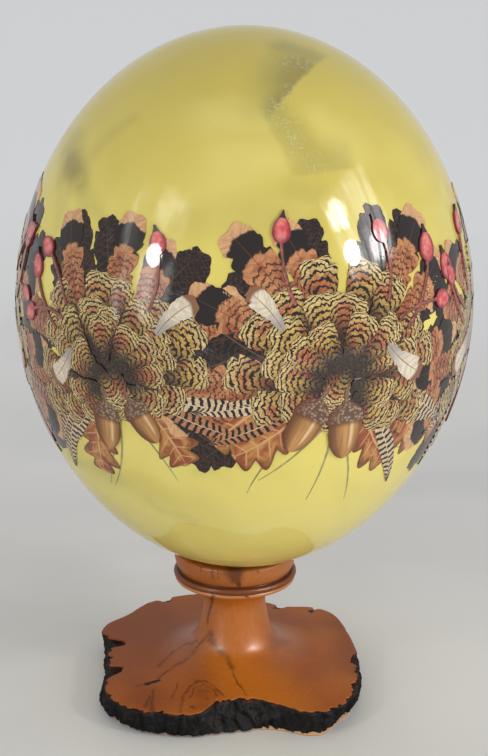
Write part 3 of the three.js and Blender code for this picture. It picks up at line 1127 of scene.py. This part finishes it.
chance = random.Random(14)
tiles = [
    cutout(f"tile {i}", GOLD_LENGTH, feather_edge(GOLD_WIDTH, 4, chance), bend, 18, 8, slant=0.5)
    for i, bend in enumerate((0.1, -0.12, 0.25, -0.2))
]
sprigs = fan((104, -96, 78, -70, 51, -45, 26, -21, 3), FAN_FOOT, 13, 1.1)
sprigs += fan((114, -110, 88, -84, 62, -57, 36, -31, 10, -8), FAN_FOOT, 8, 1.0)
sprigs += fan((152, -148, 178), FAN_FOOT, 1.5, 0.75)
sprigs += fan((124, -119, 95, -90, 66, -60, 38, -30, 5), FAN_FOOT, 3.5, 0.9)
sprigs += [(2.5, -1.5, 168, 0.85), (-2.5, -2.5, -165, 0.8)]
glued("garland_gold_feathers", tiles, sprigs, gold_feather, first_layer=37, seed=24)


# --------------------------------------------------------------------------- the garland's rosehips
# Thin reddish stems rise out of each fan, and each carries a pink-red rosehip with a dark, frayed end.
HIP_LENGTH = 26
STEM_WIDTH = 0.5
HIP_FROM = 0.65
HIP_TO = 0.92
HIP_WIDTH = 2.8
STEM_PINK = (0.420, 0.120, 0.100)
STEM_BROWN = (0.130, 0.050, 0.030)
HIP_RED = (0.600, 0.062, 0.070)
HIP_PINK = (0.760, 0.240, 0.220)
HIP_DARK = (0.190, 0.012, 0.022)
HIP_CALYX = (0.050, 0.022, 0.014)


def hip_edge(u, side):
    if u < HIP_FROM:
        return STEM_WIDTH * (1.15 - 0.5 * u) * (1 + 0.12 * math.sin(23 * u + side))
    if u > HIP_TO:
        return 0.25 + 0.85 * (1 - (u - HIP_TO) / (1 - HIP_TO)) ** 1.5
    swell = (u - HIP_FROM) / (HIP_TO - HIP_FROM)
    return max(STEM_WIDTH, HIP_WIDTH * (1 - abs(2 * swell - 1) ** 2.2) ** 0.5 * (1.1 - 0.2 * swell))


rosehip, tree, shader, along, across, tint = printed("rosehip print")
patchy = ramp(tree, print_noise(tree, along, across, tint, 22.0, 1.5), 0.40, 0.60)
stem = painted(tree, colour(STEM_PINK), STEM_BROWN, patchy)
stem = painted(tree, stem, STEM_BROWN, ramp(tree, across, -0.2, 0.9, 0.0, 0.8))
flushed = ramp(tree, print_noise(tree, along, across, tint, 12.0, 1.0), 0.36, 0.66)
fruit = painted(tree, colour(HIP_RED), HIP_PINK, flushed)
fruit = painted(tree, fruit, HIP_DARK, ramp(tree, maths(tree, "ABSOLUTE", across), 0.35, 1.0, 0.0, 0.9))
shaded = ramp(tree, along, HIP_FROM + 0.10, HIP_FROM, 0.0, 0.7)
fruit = painted(tree, fruit, HIP_DARK, shaded)
surface = mix(tree, ramp(tree, along, HIP_FROM - 0.01, HIP_FROM), stem, fruit)
surface = painted(tree, surface, HIP_CALYX, ramp(tree, along, HIP_TO - 0.012, HIP_TO))
tree.links.new(surface, shader.inputs["Base Color"])

hips = [
    cutout(f"hip {i}", HIP_LENGTH, hip_edge, bend, 64, 6)
    for i, bend in enumerate((0.9, -1.0, 1.2, -0.7))
]
sprigs = [(-17, 6, 40, 1.0), (-11, 12, 14, 0.95), (-14, 9, 62, 0.8), (15, 10, -34, 0.9)]
glued("garland_rosehips", hips, sprigs, rosehip, first_layer=71, seed=25)


# ----------------------------------------------------------------------------- the garland's acorns
# A pair of acorns hangs at the foot of each fan. Each is a tan nut in a scaly brown cup on a short stalk.
ACORN_LENGTH = 20
STALK_WIDTH = 0.65
CUP_FROM = 0.18
NUT_FROM = 0.46
CUP_WIDTH = 5.2
NUT_WIDTH = 4.6
CUP_BROWN = (0.130, 0.062, 0.034)
CUP_GREY = (0.330, 0.240, 0.160)
NUT_TAN = (0.560, 0.290, 0.090)
NUT_BROWN = (0.120, 0.036, 0.013)
NUT_SHINE = (0.800, 0.600, 0.340)


def acorn_edge(u, side):
    if u < CUP_FROM:
        return STALK_WIDTH
    if u < NUT_FROM:
        swell = math.sin(0.5 * math.pi * (u - CUP_FROM) / (NUT_FROM - CUP_FROM)) ** 0.45
        return max(STALK_WIDTH, CUP_WIDTH * swell)
    nut = (u - NUT_FROM) / (1 - NUT_FROM)
    return max(0.2, NUT_WIDTH * (1 - nut**3.0) ** 0.62)


acorn, tree, shader, along, across, tint = printed("acorn print")
aside = maths(tree, "ABSOLUTE", across)
streaky = ramp(tree, print_noise(tree, along, across, tint, 3.0, 14.0), 0.34, 0.66)
nut = painted(tree, colour(NUT_TAN), NUT_BROWN, streaky, 0.45)
nut = painted(tree, nut, NUT_BROWN, ramp(tree, across, -0.1, 0.95, 0.0, 0.95))
nut = painted(tree, nut, NUT_BROWN, ramp(tree, across, -0.55, -1.0, 0.0, 0.7))
shine = ramp(tree, maths(tree, "ABSOLUTE", maths(tree, "ADD", across, 0.42)), 0.03, 0.16, 0.7, 0.0)
nut = painted(tree, nut, NUT_SHINE, times(tree, shine, ramp(tree, along, 0.92, 0.75)))
nut = painted(tree, nut, NUT_BROWN, ramp(tree, along, NUT_FROM + 0.08, NUT_FROM, 0.0, 0.8))
inputs = {0: times(tree, along, 26.0), 1: times(tree, across, 5.0), 2: tint}
scale_place = node(tree, "ShaderNodeCombineXYZ", inputs).outputs[0]
scales = node(tree, "ShaderNodeTexVoronoi", {"Vector": scale_place, "Scale": 1.0}).outputs["Distance"]
cup = painted(tree, colour(CUP_GREY), CUP_BROWN, ramp(tree, scales, 0.25, 0.60))
cup = painted(tree, cup, NUT_BROWN, ramp(tree, across, 0.0, 1.0, 0.0, 0.8))
surface = mix(tree, ramp(tree, along, NUT_FROM - 0.01, NUT_FROM + 0.01), cup, nut)
tree.links.new(surface, shader.inputs["Base Color"])

acorns = [
    cutout(f"acorn {i}", ACORN_LENGTH, acorn_edge, bend, 44, 8)
    for i, bend in enumerate((0.08, -0.1))
]
sprigs = [(-2, -9, 163, 1.0), (3, -10, -158, 0.9)]
glued("garland_acorns", acorns, sprigs, acorn, first_layer=76, seed=28)


# --------------------------------------------------------------------- the garland's down feathers
# Last, a few small cream feathers with grey feet lie loose over the sprays.
DOWN_LENGTH = 15
DOWN_WIDTH = 3.6
DOWN_CREAM = (0.780, 0.680, 0.500)
DOWN_GREY = (0.300, 0.270, 0.250)
DOWN_BROWN = (0.250, 0.110, 0.055)

down_feather, tree, shader, along, across, tint = printed("down feather print")
feathered = placed(tree, barbs, Along=along, Across=across, Tint=tint, Count=30.0, Shaft=0.09)
surface = painted(tree, colour(DOWN_CREAM), DOWN_GREY, feathered["Streaks"], 0.5)
surface = painted(tree, surface, DOWN_GREY, ramp(tree, along, 0.5, 0.1, 0.0, 0.85))
surface = painted(tree, surface, DOWN_BROWN, ramp(tree, bowed(tree, along, across, 0.1, 0.1), 0.84, 0.92))
surface = painted(tree, surface, DOWN_BROWN, feathered["Shaft"])
tree.links.new(surface, shader.inputs["Base Color"])

chance = random.Random(15)
downs = [
    cutout(f"down {i}", DOWN_LENGTH, feather_edge(DOWN_WIDTH, 4, chance), bend, 20, 6, slant=0.6)
    for i, bend in enumerate((0.5, -0.6))
]
sprigs = [(-12, 2, 140, 1.0), (17, 4, -38, 0.9)]
glued("garland_down_feathers", downs, sprigs, down_feather, first_layer=79, seed=29)


# ------------------------------------------------------------------------------- the stand's wood
# One piece of orange-brown wood, turned from a slice of a small trunk: a shallow cup on a dark roll and a
# thin bead, a slim neck, and a flared plate. It is oiled and buffed to a soft gloss.
WOOD_ROUND = 720
SEAT_GAP = 0.0003
SEAT_RINGS = 24
RIM_HEIGHT = 0.0405
RIM_INSIDE = 0.0160
# the heights at which the CAD solid is measured for the plate's edge and for its foot
EDGE_MEASURED_AT = 0.0071
FOOT_MEASURED_AT = 0.0010
# the turned profile from the cup's rim down to the plate: radius and height in millimetres
TURNED_PROFILE = [
    (16.4, 40.5), (16.85, 40.45), (17.15, 40.25), (17.3, 39.85), (17.3, 39.2), (17.2, 38.3), (17.0, 37.4),
    (16.7, 36.5), (16.3, 35.6), (15.9, 34.95), (15.75, 34.65), (15.9, 34.55), (16.3, 34.7), (16.8, 34.65),
    (17.2, 34.45), (17.45, 34.1), (17.5, 33.7), (17.4, 33.3), (17.15, 33.05), (16.85, 32.95), (16.8, 32.85),
    (17.0, 32.7), (17.1, 32.4), (17.05, 32.05), (16.8, 31.75), (16.3, 31.5), (15.4, 31.25), (14.2, 31.0),
    (12.4, 30.6), (10.8, 29.95), (9.8, 29.0), (9.15, 27.8), (8.8, 26.2), (8.75, 24.6), (8.95, 22.8),
    (9.3, 21.0), (9.7, 19.2), (10.15, 17.4), (10.7, 15.8), (11.3, 14.4), (11.95, 13.3), (12.8, 12.4),
    (13.9, 11.75), (15.3, 11.15), (17.0, 10.6),
]
PLATE_FROM = 20.0
PLATE_EDGE_HEIGHT = 6.6
PLATE_RISE = 3.2
PLATE_FALL = 14.0
PLATE_RINGS = 30
PLATE_START = 0.0182
SMOOTHED_OVER = 8
# bark-filled clefts in the plate's edge: degrees round from the right, half width in degrees, depth in mm
CLEFTS = [
    (169, 4.8, 5.0), (-160, 4.4, 4.6), (-175, 1.6, 1.4), (-8, 4.4, 1.8), (-32, 4.0, 1.2), (68, 2.2, 2.6),
    (54, 1.2, 1.6), (-99, 1.6, 1.4), (-118, 1.0, 1.6), (-126, 2.0, 1.0), (-52, 1.4, 1.2), (118, 2.4, 3.0),
]
# in degrees round from the right, where the bark is worn thin, and where bare wood shows below it
WORN = (-5, 2, 156, 162)
FOOT_SHOWN = (-84, -70, -38, -26)

stand_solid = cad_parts["stand"]
spokes = np.linspace(-math.pi, math.pi, WOOD_ROUND, endpoint=False)


def stand_radius(height):
    """How far the stand's CAD solid reaches at a height, all round, with its facets smoothed away."""
    found = []
    for angle in spokes:
        outwards = Vector((math.cos(angle), math.sin(angle), 0))
        start = outwards * 0.2 + Vector((0, 0, height))
        met, where, _, _ = stand_solid.ray_cast(start, -outwards)
        found.append(Vector((where.x, where.y)).length)
    found = np.array(found)
    weights = np.hanning(2 * SMOOTHED_OVER + 1)
    weights /= weights.sum()
    padded = np.concatenate([found[-SMOOTHED_OVER:], found, found[:SMOOTHED_OVER]])
    return np.convolve(padded, weights, "valid")


edge_radius = stand_radius(EDGE_MEASURED_AT)
foot_radius = stand_radius(FOOT_MEASURED_AT)


def plate_height(radius):
    return MILLIMETRE * (
        PLATE_EDGE_HEIGHT + PLATE_RISE * np.exp(-(radius / MILLIMETRE - PLATE_FROM) / PLATE_FALL)
    )


def ragged(size, seed):
    """Noise from -1 to 1 round the plate's edge, in lumps of this size in millimetres."""
    places = [(r * math.cos(t), r * math.sin(t)) for r, t in zip(edge_radius / MILLIMETRE, spokes)]
    return np.array([noise.noise(Vector((x / size, y / size, seed))) for x, y in places])


cleft_depth = np.zeros(WOOD_ROUND)
for degrees, half_width, depth in CLEFTS:
    apart = np.degrees(np.angle(np.exp(1j * (spokes - math.radians(degrees)))))
    cleft_depth = np.maximum(cleft_depth, depth * np.exp(-((apart / half_width) ** 4)))
bark_thickness = 0.95 + 0.7 * ragged(4.0, 1.5) + 1.1 * ragged(1.7, 7.5) + 0.9 * ragged(0.8, 3.5)
worn = np.interp(np.degrees(spokes), WORN, (0, 1, 1, 0))
bark_thickness = np.maximum(bark_thickness * (1 - 0.8 * worn), 0.35 - 0.1 * worn)
wood_edge = edge_radius - MILLIMETRE * (bark_thickness + cleft_depth)
shown = np.interp(np.degrees(spokes), FOOT_SHOWN, (0, 1, 1, 0))
foot_line = foot_radius + MILLIMETRE * (-0.75 + 1.15 * shown + 0.4 * ragged(6.0, 4.5))


def ring_at(radius, height):
    radius = np.broadcast_to(radius, spokes.shape)
    height = np.broadcast_to(height, spokes.shape)
    return np.stack([radius * np.cos(spokes), radius * np.sin(spokes), height], -1)


def seat_height(places):
    """The cup's hollow follows the egg, a little larger: its height under each point of a ring."""
    back_to_egg = egg_place.inverted()
    for _ in range(8):
        inside = moved(places, back_to_egg)
        away = np.hypot(inside[:, 0], inside[:, 1])
        level = inside[:, 2] / (half_length + SEAT_GAP)
        fullness = 1 + BLUNT_END * level + POINTED_ENDS * level**2
        share = np.clip(away / ((EGG_RADIUS + SEAT_GAP) * fullness), 0, 0.999)
        inside[:, 2] = -(half_length + SEAT_GAP) * np.sqrt(1 - share**2)
        places[:, 2] = np.minimum(moved(inside, egg_place)[:, 2], RIM_HEIGHT)
    return places


rings = [seat_height(ring_at(radius, egg_low.z)) for radius in np.linspace(0.0008, RIM_INSIDE, SEAT_RINGS)]
seat_middle = seat_height(ring_at(0.0, egg_low.z))[0]
rings += [ring_at(radius * MILLIMETRE, height * MILLIMETRE) for radius, height in TURNED_PROFILE]
for share in np.linspace(0, 1, PLATE_RINGS):
    radius = PLATE_START + (wood_edge - PLATE_START) * share
    rings.append(ring_at(radius, plate_height(radius)))
edge_height = plate_height(wood_edge)
inner_foot = np.minimum(foot_radius - 0.0012, wood_edge + 0.0002)
# the plate's edge goes down behind the bark, and a thin lip of bare wood runs out under it
rings += [
    ring_at(wood_edge + 0.00015, edge_height - 0.00015),
    ring_at(wood_edge + 0.0002, edge_height - 0.0005),
    ring_at(inner_foot, 0.0013),
    ring_at(foot_line - 0.0002, 0.0007),
    ring_at(foot_line, 0.0005),
    ring_at(foot_line - 0.0001, 0.0002),
    ring_at(foot_line - 0.0004, 0.0),
]
places, faces = closed_rings(rings[::-1], np.zeros(3), seat_middle)
wood = mesh_object("stand_wood", places, faces)

WOOD_ORANGE = (0.410, 0.120, 0.020)
WOOD_GOLD = (0.540, 0.160, 0.014)
WOOD_RED = (0.250, 0.064, 0.018)
WOOD_PALE = (0.560, 0.215, 0.060)
WOOD_BARE = (0.600, 0.360, 0.190)
WOOD_DARK = (0.085, 0.022, 0.008)
KNOT_BLACK = (0.012, 0.006, 0.004)
RING_SPACING = 1.7
PITH = (5, 7, 0)
UPPER_GROOVE = 34.75
LOWER_GROOVE = 32.9


def drawn(points, first_width, last_width):
    """A line of strokes through points, from one half width to the other."""
    widths = np.linspace(first_width, last_width, len(points))
    return [
        (start, end, float(width), float(end_width))
        for start, end, width, end_width in zip(points, points[1:], widths, widths[1:])
    ]


# The wood's figure, seen from above: dark lines that run down the neck and fork over the plate, an old
# burl's arch, and darker flames by the edge.
FIGURE = [
    *drawn([(-6.3, -8.4, 0), (-8.1, -7, 0), (-10.2, -6.5, 0), (-11.6, -8.3, 0)], 0.3, 0.5),
    *drawn(
        [(-11.6, -8.3, 0), (-13.6, -10.3, 0), (-16.8, -13.3, 0), (-19.8, -16.4, 0), (-21.4, -19.4, 0)],
        1.0,
        0.35,
    ),
    *drawn(
        [(-11, -4.6, 0), (-13.9, -2.4, 0), (-16.9, -4.4, 0), (-18.9, -7.5, 0), (-21.8, -11.8, 0)],
        0.4,
        0.6,
    ),
    *drawn([(-6.3, -8.8, 0), (-4, -11.1, 0), (-2.2, -13.2, 0), (-0.9, -16.6, 0)], 0.55, 0.85),
    *drawn([(-0.9, -16.6, 0), (0.1, -21.3, 0), (2.2, -26.4, 0), (3.7, -29.5, 0)], 0.35, 0.25),
]
BURL = [
    *drawn([(-14.8, -38.7, 0), (-14.2, -30.7, 0), (-12.4, -25, 0), (-10.4, -22, 0)], 0.4, 0.5),
    *drawn([(-10.4, -22, 0), (-7.9, -22.2, 0), (-5.3, -25.5, 0), (-3.3, -30.1, 0)], 0.5, 0.4),
    *drawn(
        [(-12.2, -30.8, 0), (-10.9, -25.6, 0), (-8.4, -23.9, 0), (-5.8, -26.8, 0), (-4.9, -29.8, 0)],
        0.3,
        0.3,
    ),
    *drawn([(-9.3, -27.2, 0), (-7.8, -27.8, 0)], 0.5, 0.4),
    *drawn([(-11.7, -35.8, 0), (-10.6, -36.8, 0)], 0.5, 0.4),
    *drawn([(-7.5, -30.8, 0), (-7.2, -31.4, 0)], 0.35, 0.35),
]
FLAMES = [
    *drawn([(-22.6, -25.5, 0), (-22.9, -32.2, 0), (-22.4, -39.6, 0)], 0.3, 0.8),
    *drawn([(-23.8, -29, 0), (-24.3, -35.3, 0)], 0.3, 0.5),
    *drawn([(-27.5, -23.2, 0), (-24.5, -21.9, 0)], 0.25, 0.5),
    *drawn([(-15.9, -22.7, 0), (-17.2, -30.5, 0)], 0.25, 0.2),
]
KNOTS = [
    ((-24.5, -21.9, 0), (-21.3, -20.3, 0), 0.75, 0.45),
    ((12, 32.4, 0), (13.5, 32.6, 0), 0.8, 0.6),
    ((22.8, 30, 0), (22.8, 31, 0), 0.6, 0.8),
]
CUP_MARKS = [
    ((-0.2, -17.2, 40.6), (0.2, -17.0, 38.2), 2.9, 1.8),
    ((0.4, -17.0, 38.4), (1.4, -16.3, 35.2), 1.6, 0.4),
    ((-6.3, -16.1, 40.5), (-6.0, -15.7, 37.2), 0.45, 0.15),
    ((-4.8, -16.6, 40.5), (-4.6, -16.2, 38.0), 0.3, 0.1),
    ((-9.5, -14.4, 40.5), (-9.3, -14.2, 38.8), 0.35, 0.1),
    ((6.4, -16.1, 40.5), (6.5, -15.9, 39.2), 0.35, 0.1),
    ((-6.0, -15.9, 32.9), (-6.0, -15.9, 32.0), 0.6, 0.4),
    ((3.3, -16.8, 32.8), (3.9, -16.6, 32.3), 0.45, 0.3),
    ((-6.1, -6.4, 28.5), (-7.6, -5.2, 22.1), 0.7, 0.5),
    ((-7.6, -5.2, 22.1), (-8.1, -6.2, 18.2), 0.5, 0.3),
]
# where the wood is redder or more golden: from, to and the half widths. The third redder stroke is
# painted shade down the neck's right side.
REDDER_AND_SHADED = [
    ((-34, -14, 8), (-27, 22, 8), 14.0, 19.0),
    ((37, -12, 8), (36, 20, 8), 4.0, 7.0),
    # painted shade: the neck's right side is darkened
    ((11, -6.5, 13.7), (14, -1, 12.8), 2.2, 2.2),
    ((-29, -20, 8), (-24, -33, 8), 6.5, 6.0),
    ((-9, -27, 8), (-10, -36, 8), 3.2, 4.0),
]
GOLDEN = [
    ((2, -3, 30), (1, -12, 13), 7.5, 9.0),
    ((1, -14, 11), (8, -31, 8), 7.5, 12.0),
]
# the neck is buffed the most, and the plate's front the least
BUFFED_WITHIN = 14
BUFFED_TO = 24
DULL_FROM = -14
DULL_AT = -30

turned_wood, tree, shader = new_material(
    "turned wood",
    Roughness=0.50,
    Specular_IOR_Level=0.0,
    Coat_Roughness=0.34,
)
place = object_place(tree)
sideways, depth, height = node(tree, "ShaderNodeSeparateXYZ", {0: place}).outputs
from_axis = vector(tree, "LENGTH", vector(tree, "MULTIPLY", place, (1, 1, 0)), output="Value")
gloss = maths(tree, "ADD", ramp(tree, from_axis, BUFFED_WITHIN, BUFFED_TO, 0.44, 0.0), 0.36)
gloss = maths(tree, "SUBTRACT", gloss, ramp(tree, depth, DULL_FROM, DULL_AT, 0.0, 0.16))
tree.links.new(gloss, shader.inputs["Coat Weight"])
sides = placed(tree, cloud, Place=place, Size=26.0, Detail=3.0, Warp=0.8, Start=0.34, End=0.66)["Mask"]
timber = painted(tree, colour(WOOD_ORANGE), WOOD_RED, sides, 0.55)
redder_and_shaded = laid_strokes(tree, place, REDDER_AND_SHADED, 0.9, 6.0, 18.0)
timber = painted(tree, timber, WOOD_RED, redder_and_shaded, 0.8)
golden = laid_strokes(tree, place, GOLDEN, 0.85, 4.0, 12.0)
timber = painted(tree, timber, WOOD_GOLD, golden, 0.85)

# growth rings round the pith, and fine fibres: both run up and down through the wood
swayed = placed(tree, unsteady, Place=place, Waver=7.0, Waver_Size=16.0)["Place"]
upright = vector(tree, "MULTIPLY", vector(tree, "SUBTRACT", swayed, PITH), (1, 1, 0.12))
ring_place = vector(tree, "LENGTH", upright, output="Value")
ring_wave = maths(tree, "SINE", times(tree, ring_place, 2 * math.pi / RING_SPACING))
fibre_place = vector(tree, "MULTIPLY", place, (1.9, 1.9, 0.16))
fibres = mottled(tree, fibre_place, detail=3.0)
grained = maths(tree, "MULTIPLY_ADD", ramp(tree, ring_wave, -1.0, 1.0), 0.5, ramp(tree, fibres, 0.36, 0.66))
timber = painted(tree, timber, WOOD_DARK, grained, 0.11)
# painted light: the cup's wall is painted paler, and palest on its right, where more light falls
painted_wall_light = ramp(tree, height, 34.6, 35.6)
painted_wall_light = times(tree, painted_wall_light, ramp(tree, sideways, -12.0, 6.0, 0.05, 0.34))
timber = painted(tree, timber, WOOD_PALE, painted_wall_light)

seen_above = (1, 1, 0)
faded = placed(tree, cloud, Place=place, Size=2.6, Detail=2.0, Start=0.32, End=0.60)["Mask"]
faded = ramp(tree, faded, 0.0, 1.0, 0.45, 1.0)
lined = laid_strokes(tree, place, FIGURE, 1.0, 1.0, 4.0, seen_above)
figured = times(tree, times(tree, lined, faded), 0.68)
burl = laid_strokes(tree, place, BURL, 1.0, 1.3, 3.0, seen_above)
burl = times(tree, burl, faded)
figured = maths(tree, "MAXIMUM", figured, times(tree, burl, 0.68))
flames = laid_strokes(tree, place, FLAMES, 0.9, 1.0, 4.0, seen_above)
figured = maths(tree, "MAXIMUM", figured, times(tree, flames, 0.6))
on_plate = times(tree, ramp(tree, height, 3.0, 4.0), ramp(tree, height, 19.0, 17.0))
figured = times(tree, figured, on_plate)
cup_marks = laid_strokes(tree, place, CUP_MARKS, 0.6, 0.7, 1.2)
figured = maths(tree, "MAXIMUM", figured, times(tree, cup_marks, 0.80))
timber = painted(tree, timber, WOOD_DARK, figured)
knotted = times(tree, laid_strokes(tree, place, KNOTS, 0.5, 0.8, 1.6, seen_above), on_plate)
timber = painted(tree, timber, KNOT_BLACK, knotted)

# the roll is painted dark, and the grooves beside it darker still as painted shade; the bead below is
# painted paler, as painted light on its upturned face
roll = times(tree, ramp(tree, height, 32.8, 33.2), ramp(tree, height, 34.4, 34.8, 1.0, 0.0))
from_upper = maths(tree, "ABSOLUTE", maths(tree, "SUBTRACT", height, UPPER_GROOVE))
upper_groove = ramp(tree, from_upper, 0.12, 0.5, 0.85, 0.0)
from_lower = maths(tree, "ABSOLUTE", maths(tree, "SUBTRACT", height, LOWER_GROOVE))
lower_groove = ramp(tree, from_lower, 0.10, 0.35, 0.85, 0.0)
dark_roll_and_groove_shade = maths(tree, "MAXIMUM", upper_groove, lower_groove)
dark_roll_and_groove_shade = maths(tree, "MAXIMUM", dark_roll_and_groove_shade, times(tree, roll, 0.62))
timber = painted(tree, timber, WOOD_DARK, dark_roll_and_groove_shade)
# painted light on the bead
painted_bead_light = times(tree, ramp(tree, height, 31.3, 31.6), ramp(tree, height, 32.6, 32.85, 1.0, 0.0))
unnicked = maths(tree, "SUBTRACT", 1.0, cup_marks)
painted_bead_light = times(tree, painted_bead_light, unnicked)
timber = painted(tree, timber, WOOD_PALE, painted_bead_light, 0.85)
timber = painted(tree, timber, WOOD_BARE, ramp(tree, height, 1.5, 1.1, 0.0, 0.9))
tree.links.new(timber, shader.inputs["Base Color"])
bump = node(tree, "ShaderNodeBump", {"Height": fibres, "Strength": 0.08, "Distance": 0.00004})
tree.links.new(bump.outputs["Normal"], shader.inputs["Normal"])
wood.data.materials.append(turned_wood)
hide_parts("stand")
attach(wood, "root")


# ------------------------------------------------------------------------------- the stand's bark
# The trunk's own bark, left on round the plate's edge. It is nearly black, craggy and ridged up and down,
# and its upper edge is torn where the turning tool broke it away.
BARK_ROWS = 18
BARK_LUMPS = 0.6
BARK_RIDGES = 1.1
BARK_FURROWS = 0.5
BARK_GRIT = 0.3
BARK_BULGE = 0.0005
BARK_FOOT = 0.0005
BARK_OVER_WOOD = 0.00025


def crags(places):
    """How far the bark stands out at each point, in millimetres."""
    found = []
    for x, y, z in places / MILLIMETRE:
        lump = noise.noise(Vector((x / 6, y / 6, z / 10)))
        ridge = 1 - 2 * abs(noise.noise(Vector((x / 2.3, y / 2.3, z / 8 + 9))))
        furrow = 1 - 2 * abs(noise.noise(Vector((x / 1.0, y / 1.0, z / 4 + 30))))
        grit = noise.noise(Vector((x / 0.6, y / 0.6, z / 0.9)))
        reach = BARK_LUMPS * lump + BARK_RIDGES * (ridge - 0.6) + BARK_FURROWS * (furrow - 0.7)
        found.append(reach + BARK_GRIT * grit)
    return MILLIMETRE * np.array(found)


# the ring of bark starts inside the wood, runs out under the plate's edge, down and back in at the foot
rings = [
    ring_at(wood_edge - 0.0012, edge_height - 0.0022),
    ring_at(wood_edge - 0.0002, edge_height - 0.0004),
]
crest = MILLIMETRE * (0.16 * ragged(1.2, 11.5) + 0.12 * ragged(3.0, 2.5))
between = wood_edge + 0.45 * (edge_radius - wood_edge)
sunk = MILLIMETRE * np.clip(cleft_depth * 0.35, 0, 1.3)
rings.append(ring_at(between, edge_height - 0.00018 + crest - sunk))
for row in range(BARK_ROWS):
    share = row / (BARK_ROWS - 1)
    height = (edge_height - 0.0006) * (1 - share) ** 1.05 + 0.0006 * share
    radius = edge_radius + (foot_radius - edge_radius) * share + BARK_BULGE * math.sin(math.pi * share)
    ring = ring_at(radius, height)
    reach = crags(ring) * (1 - 0.6 * worn) - MILLIMETRE * 0.3 * worn
    reach -= MILLIMETRE * 0.35 * cleft_depth * (1 - share)
    wood_side = wood_edge + 0.0002 + (inner_foot - wood_edge - 0.0002) * share
    rings.append(ring_at(np.maximum(radius + reach, wood_side + BARK_OVER_WOOD), height))
rings.append(ring_at(foot_radius - 0.0008, BARK_FOOT))
rings.append(ring_at(inner_foot - 0.0015, BARK_FOOT))
rings.append(ring_at(inner_foot - 0.0015, 0.0020))
places = np.concatenate(rings)
count = len(rings)
faces = []
for ring in range(count):
    low = ring * WOOD_ROUND
    high = ((ring + 1) % count) * WOOD_ROUND
    for i in range(WOOD_ROUND):
        after = (i + 1) % WOOD_ROUND
        faces.append((low + i, high + i, high + after, low + after))
bark = mesh_object("stand_bark", places, faces)

BARK_BLACK = (0.0065, 0.006, 0.0065)
BARK_BROWN = (0.018, 0.012, 0.009)
BARK_DUST_AND_GLINT = (0.032, 0.032, 0.037)
TORN_RED = (0.085, 0.022, 0.009)

black_bark, tree, shader = new_material("black bark", Roughness=0.60, Specular_IOR_Level=0.14)
place = object_place(tree)
brown = placed(tree, cloud, Place=place, Size=3.0, Detail=4.0, Start=0.50, End=0.70)["Mask"]
surface = painted(tree, colour(BARK_BLACK), BARK_BROWN, brown)
# pale bluish-grey specks, partly dust and partly painted glints
dust_and_glints = placed(tree, cloud, Place=place, Size=1.8, Detail=3.0, Start=0.60, End=0.74)["Mask"]
surface = painted(tree, surface, BARK_DUST_AND_GLINT, dust_and_glints, 0.4)
torn = placed(tree, cloud, Place=place, Size=2.2, Detail=2.0, Start=0.46, End=0.58)["Mask"]
height = node(tree, "ShaderNodeSeparateXYZ", {0: place}).outputs["Z"]
torn = times(tree, torn, ramp(tree, height, 6.3, 6.9))
surface = painted(tree, surface, TORN_RED, torn, 0.35)
tree.links.new(surface, shader.inputs["Base Color"])
rough_place = vector(tree, "MULTIPLY", place, (1.6, 1.6, 0.7))
grain = mottled(tree, rough_place, detail=5.0)
bump = node(tree, "ShaderNodeBump", {"Height": grain, "Strength": 0.7, "Distance": 0.0005})
tree.links.new(bump.outputs["Normal"], shader.inputs["Normal"])
bark.data.materials.append(black_bark)
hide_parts("stand")
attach(bark, "root")
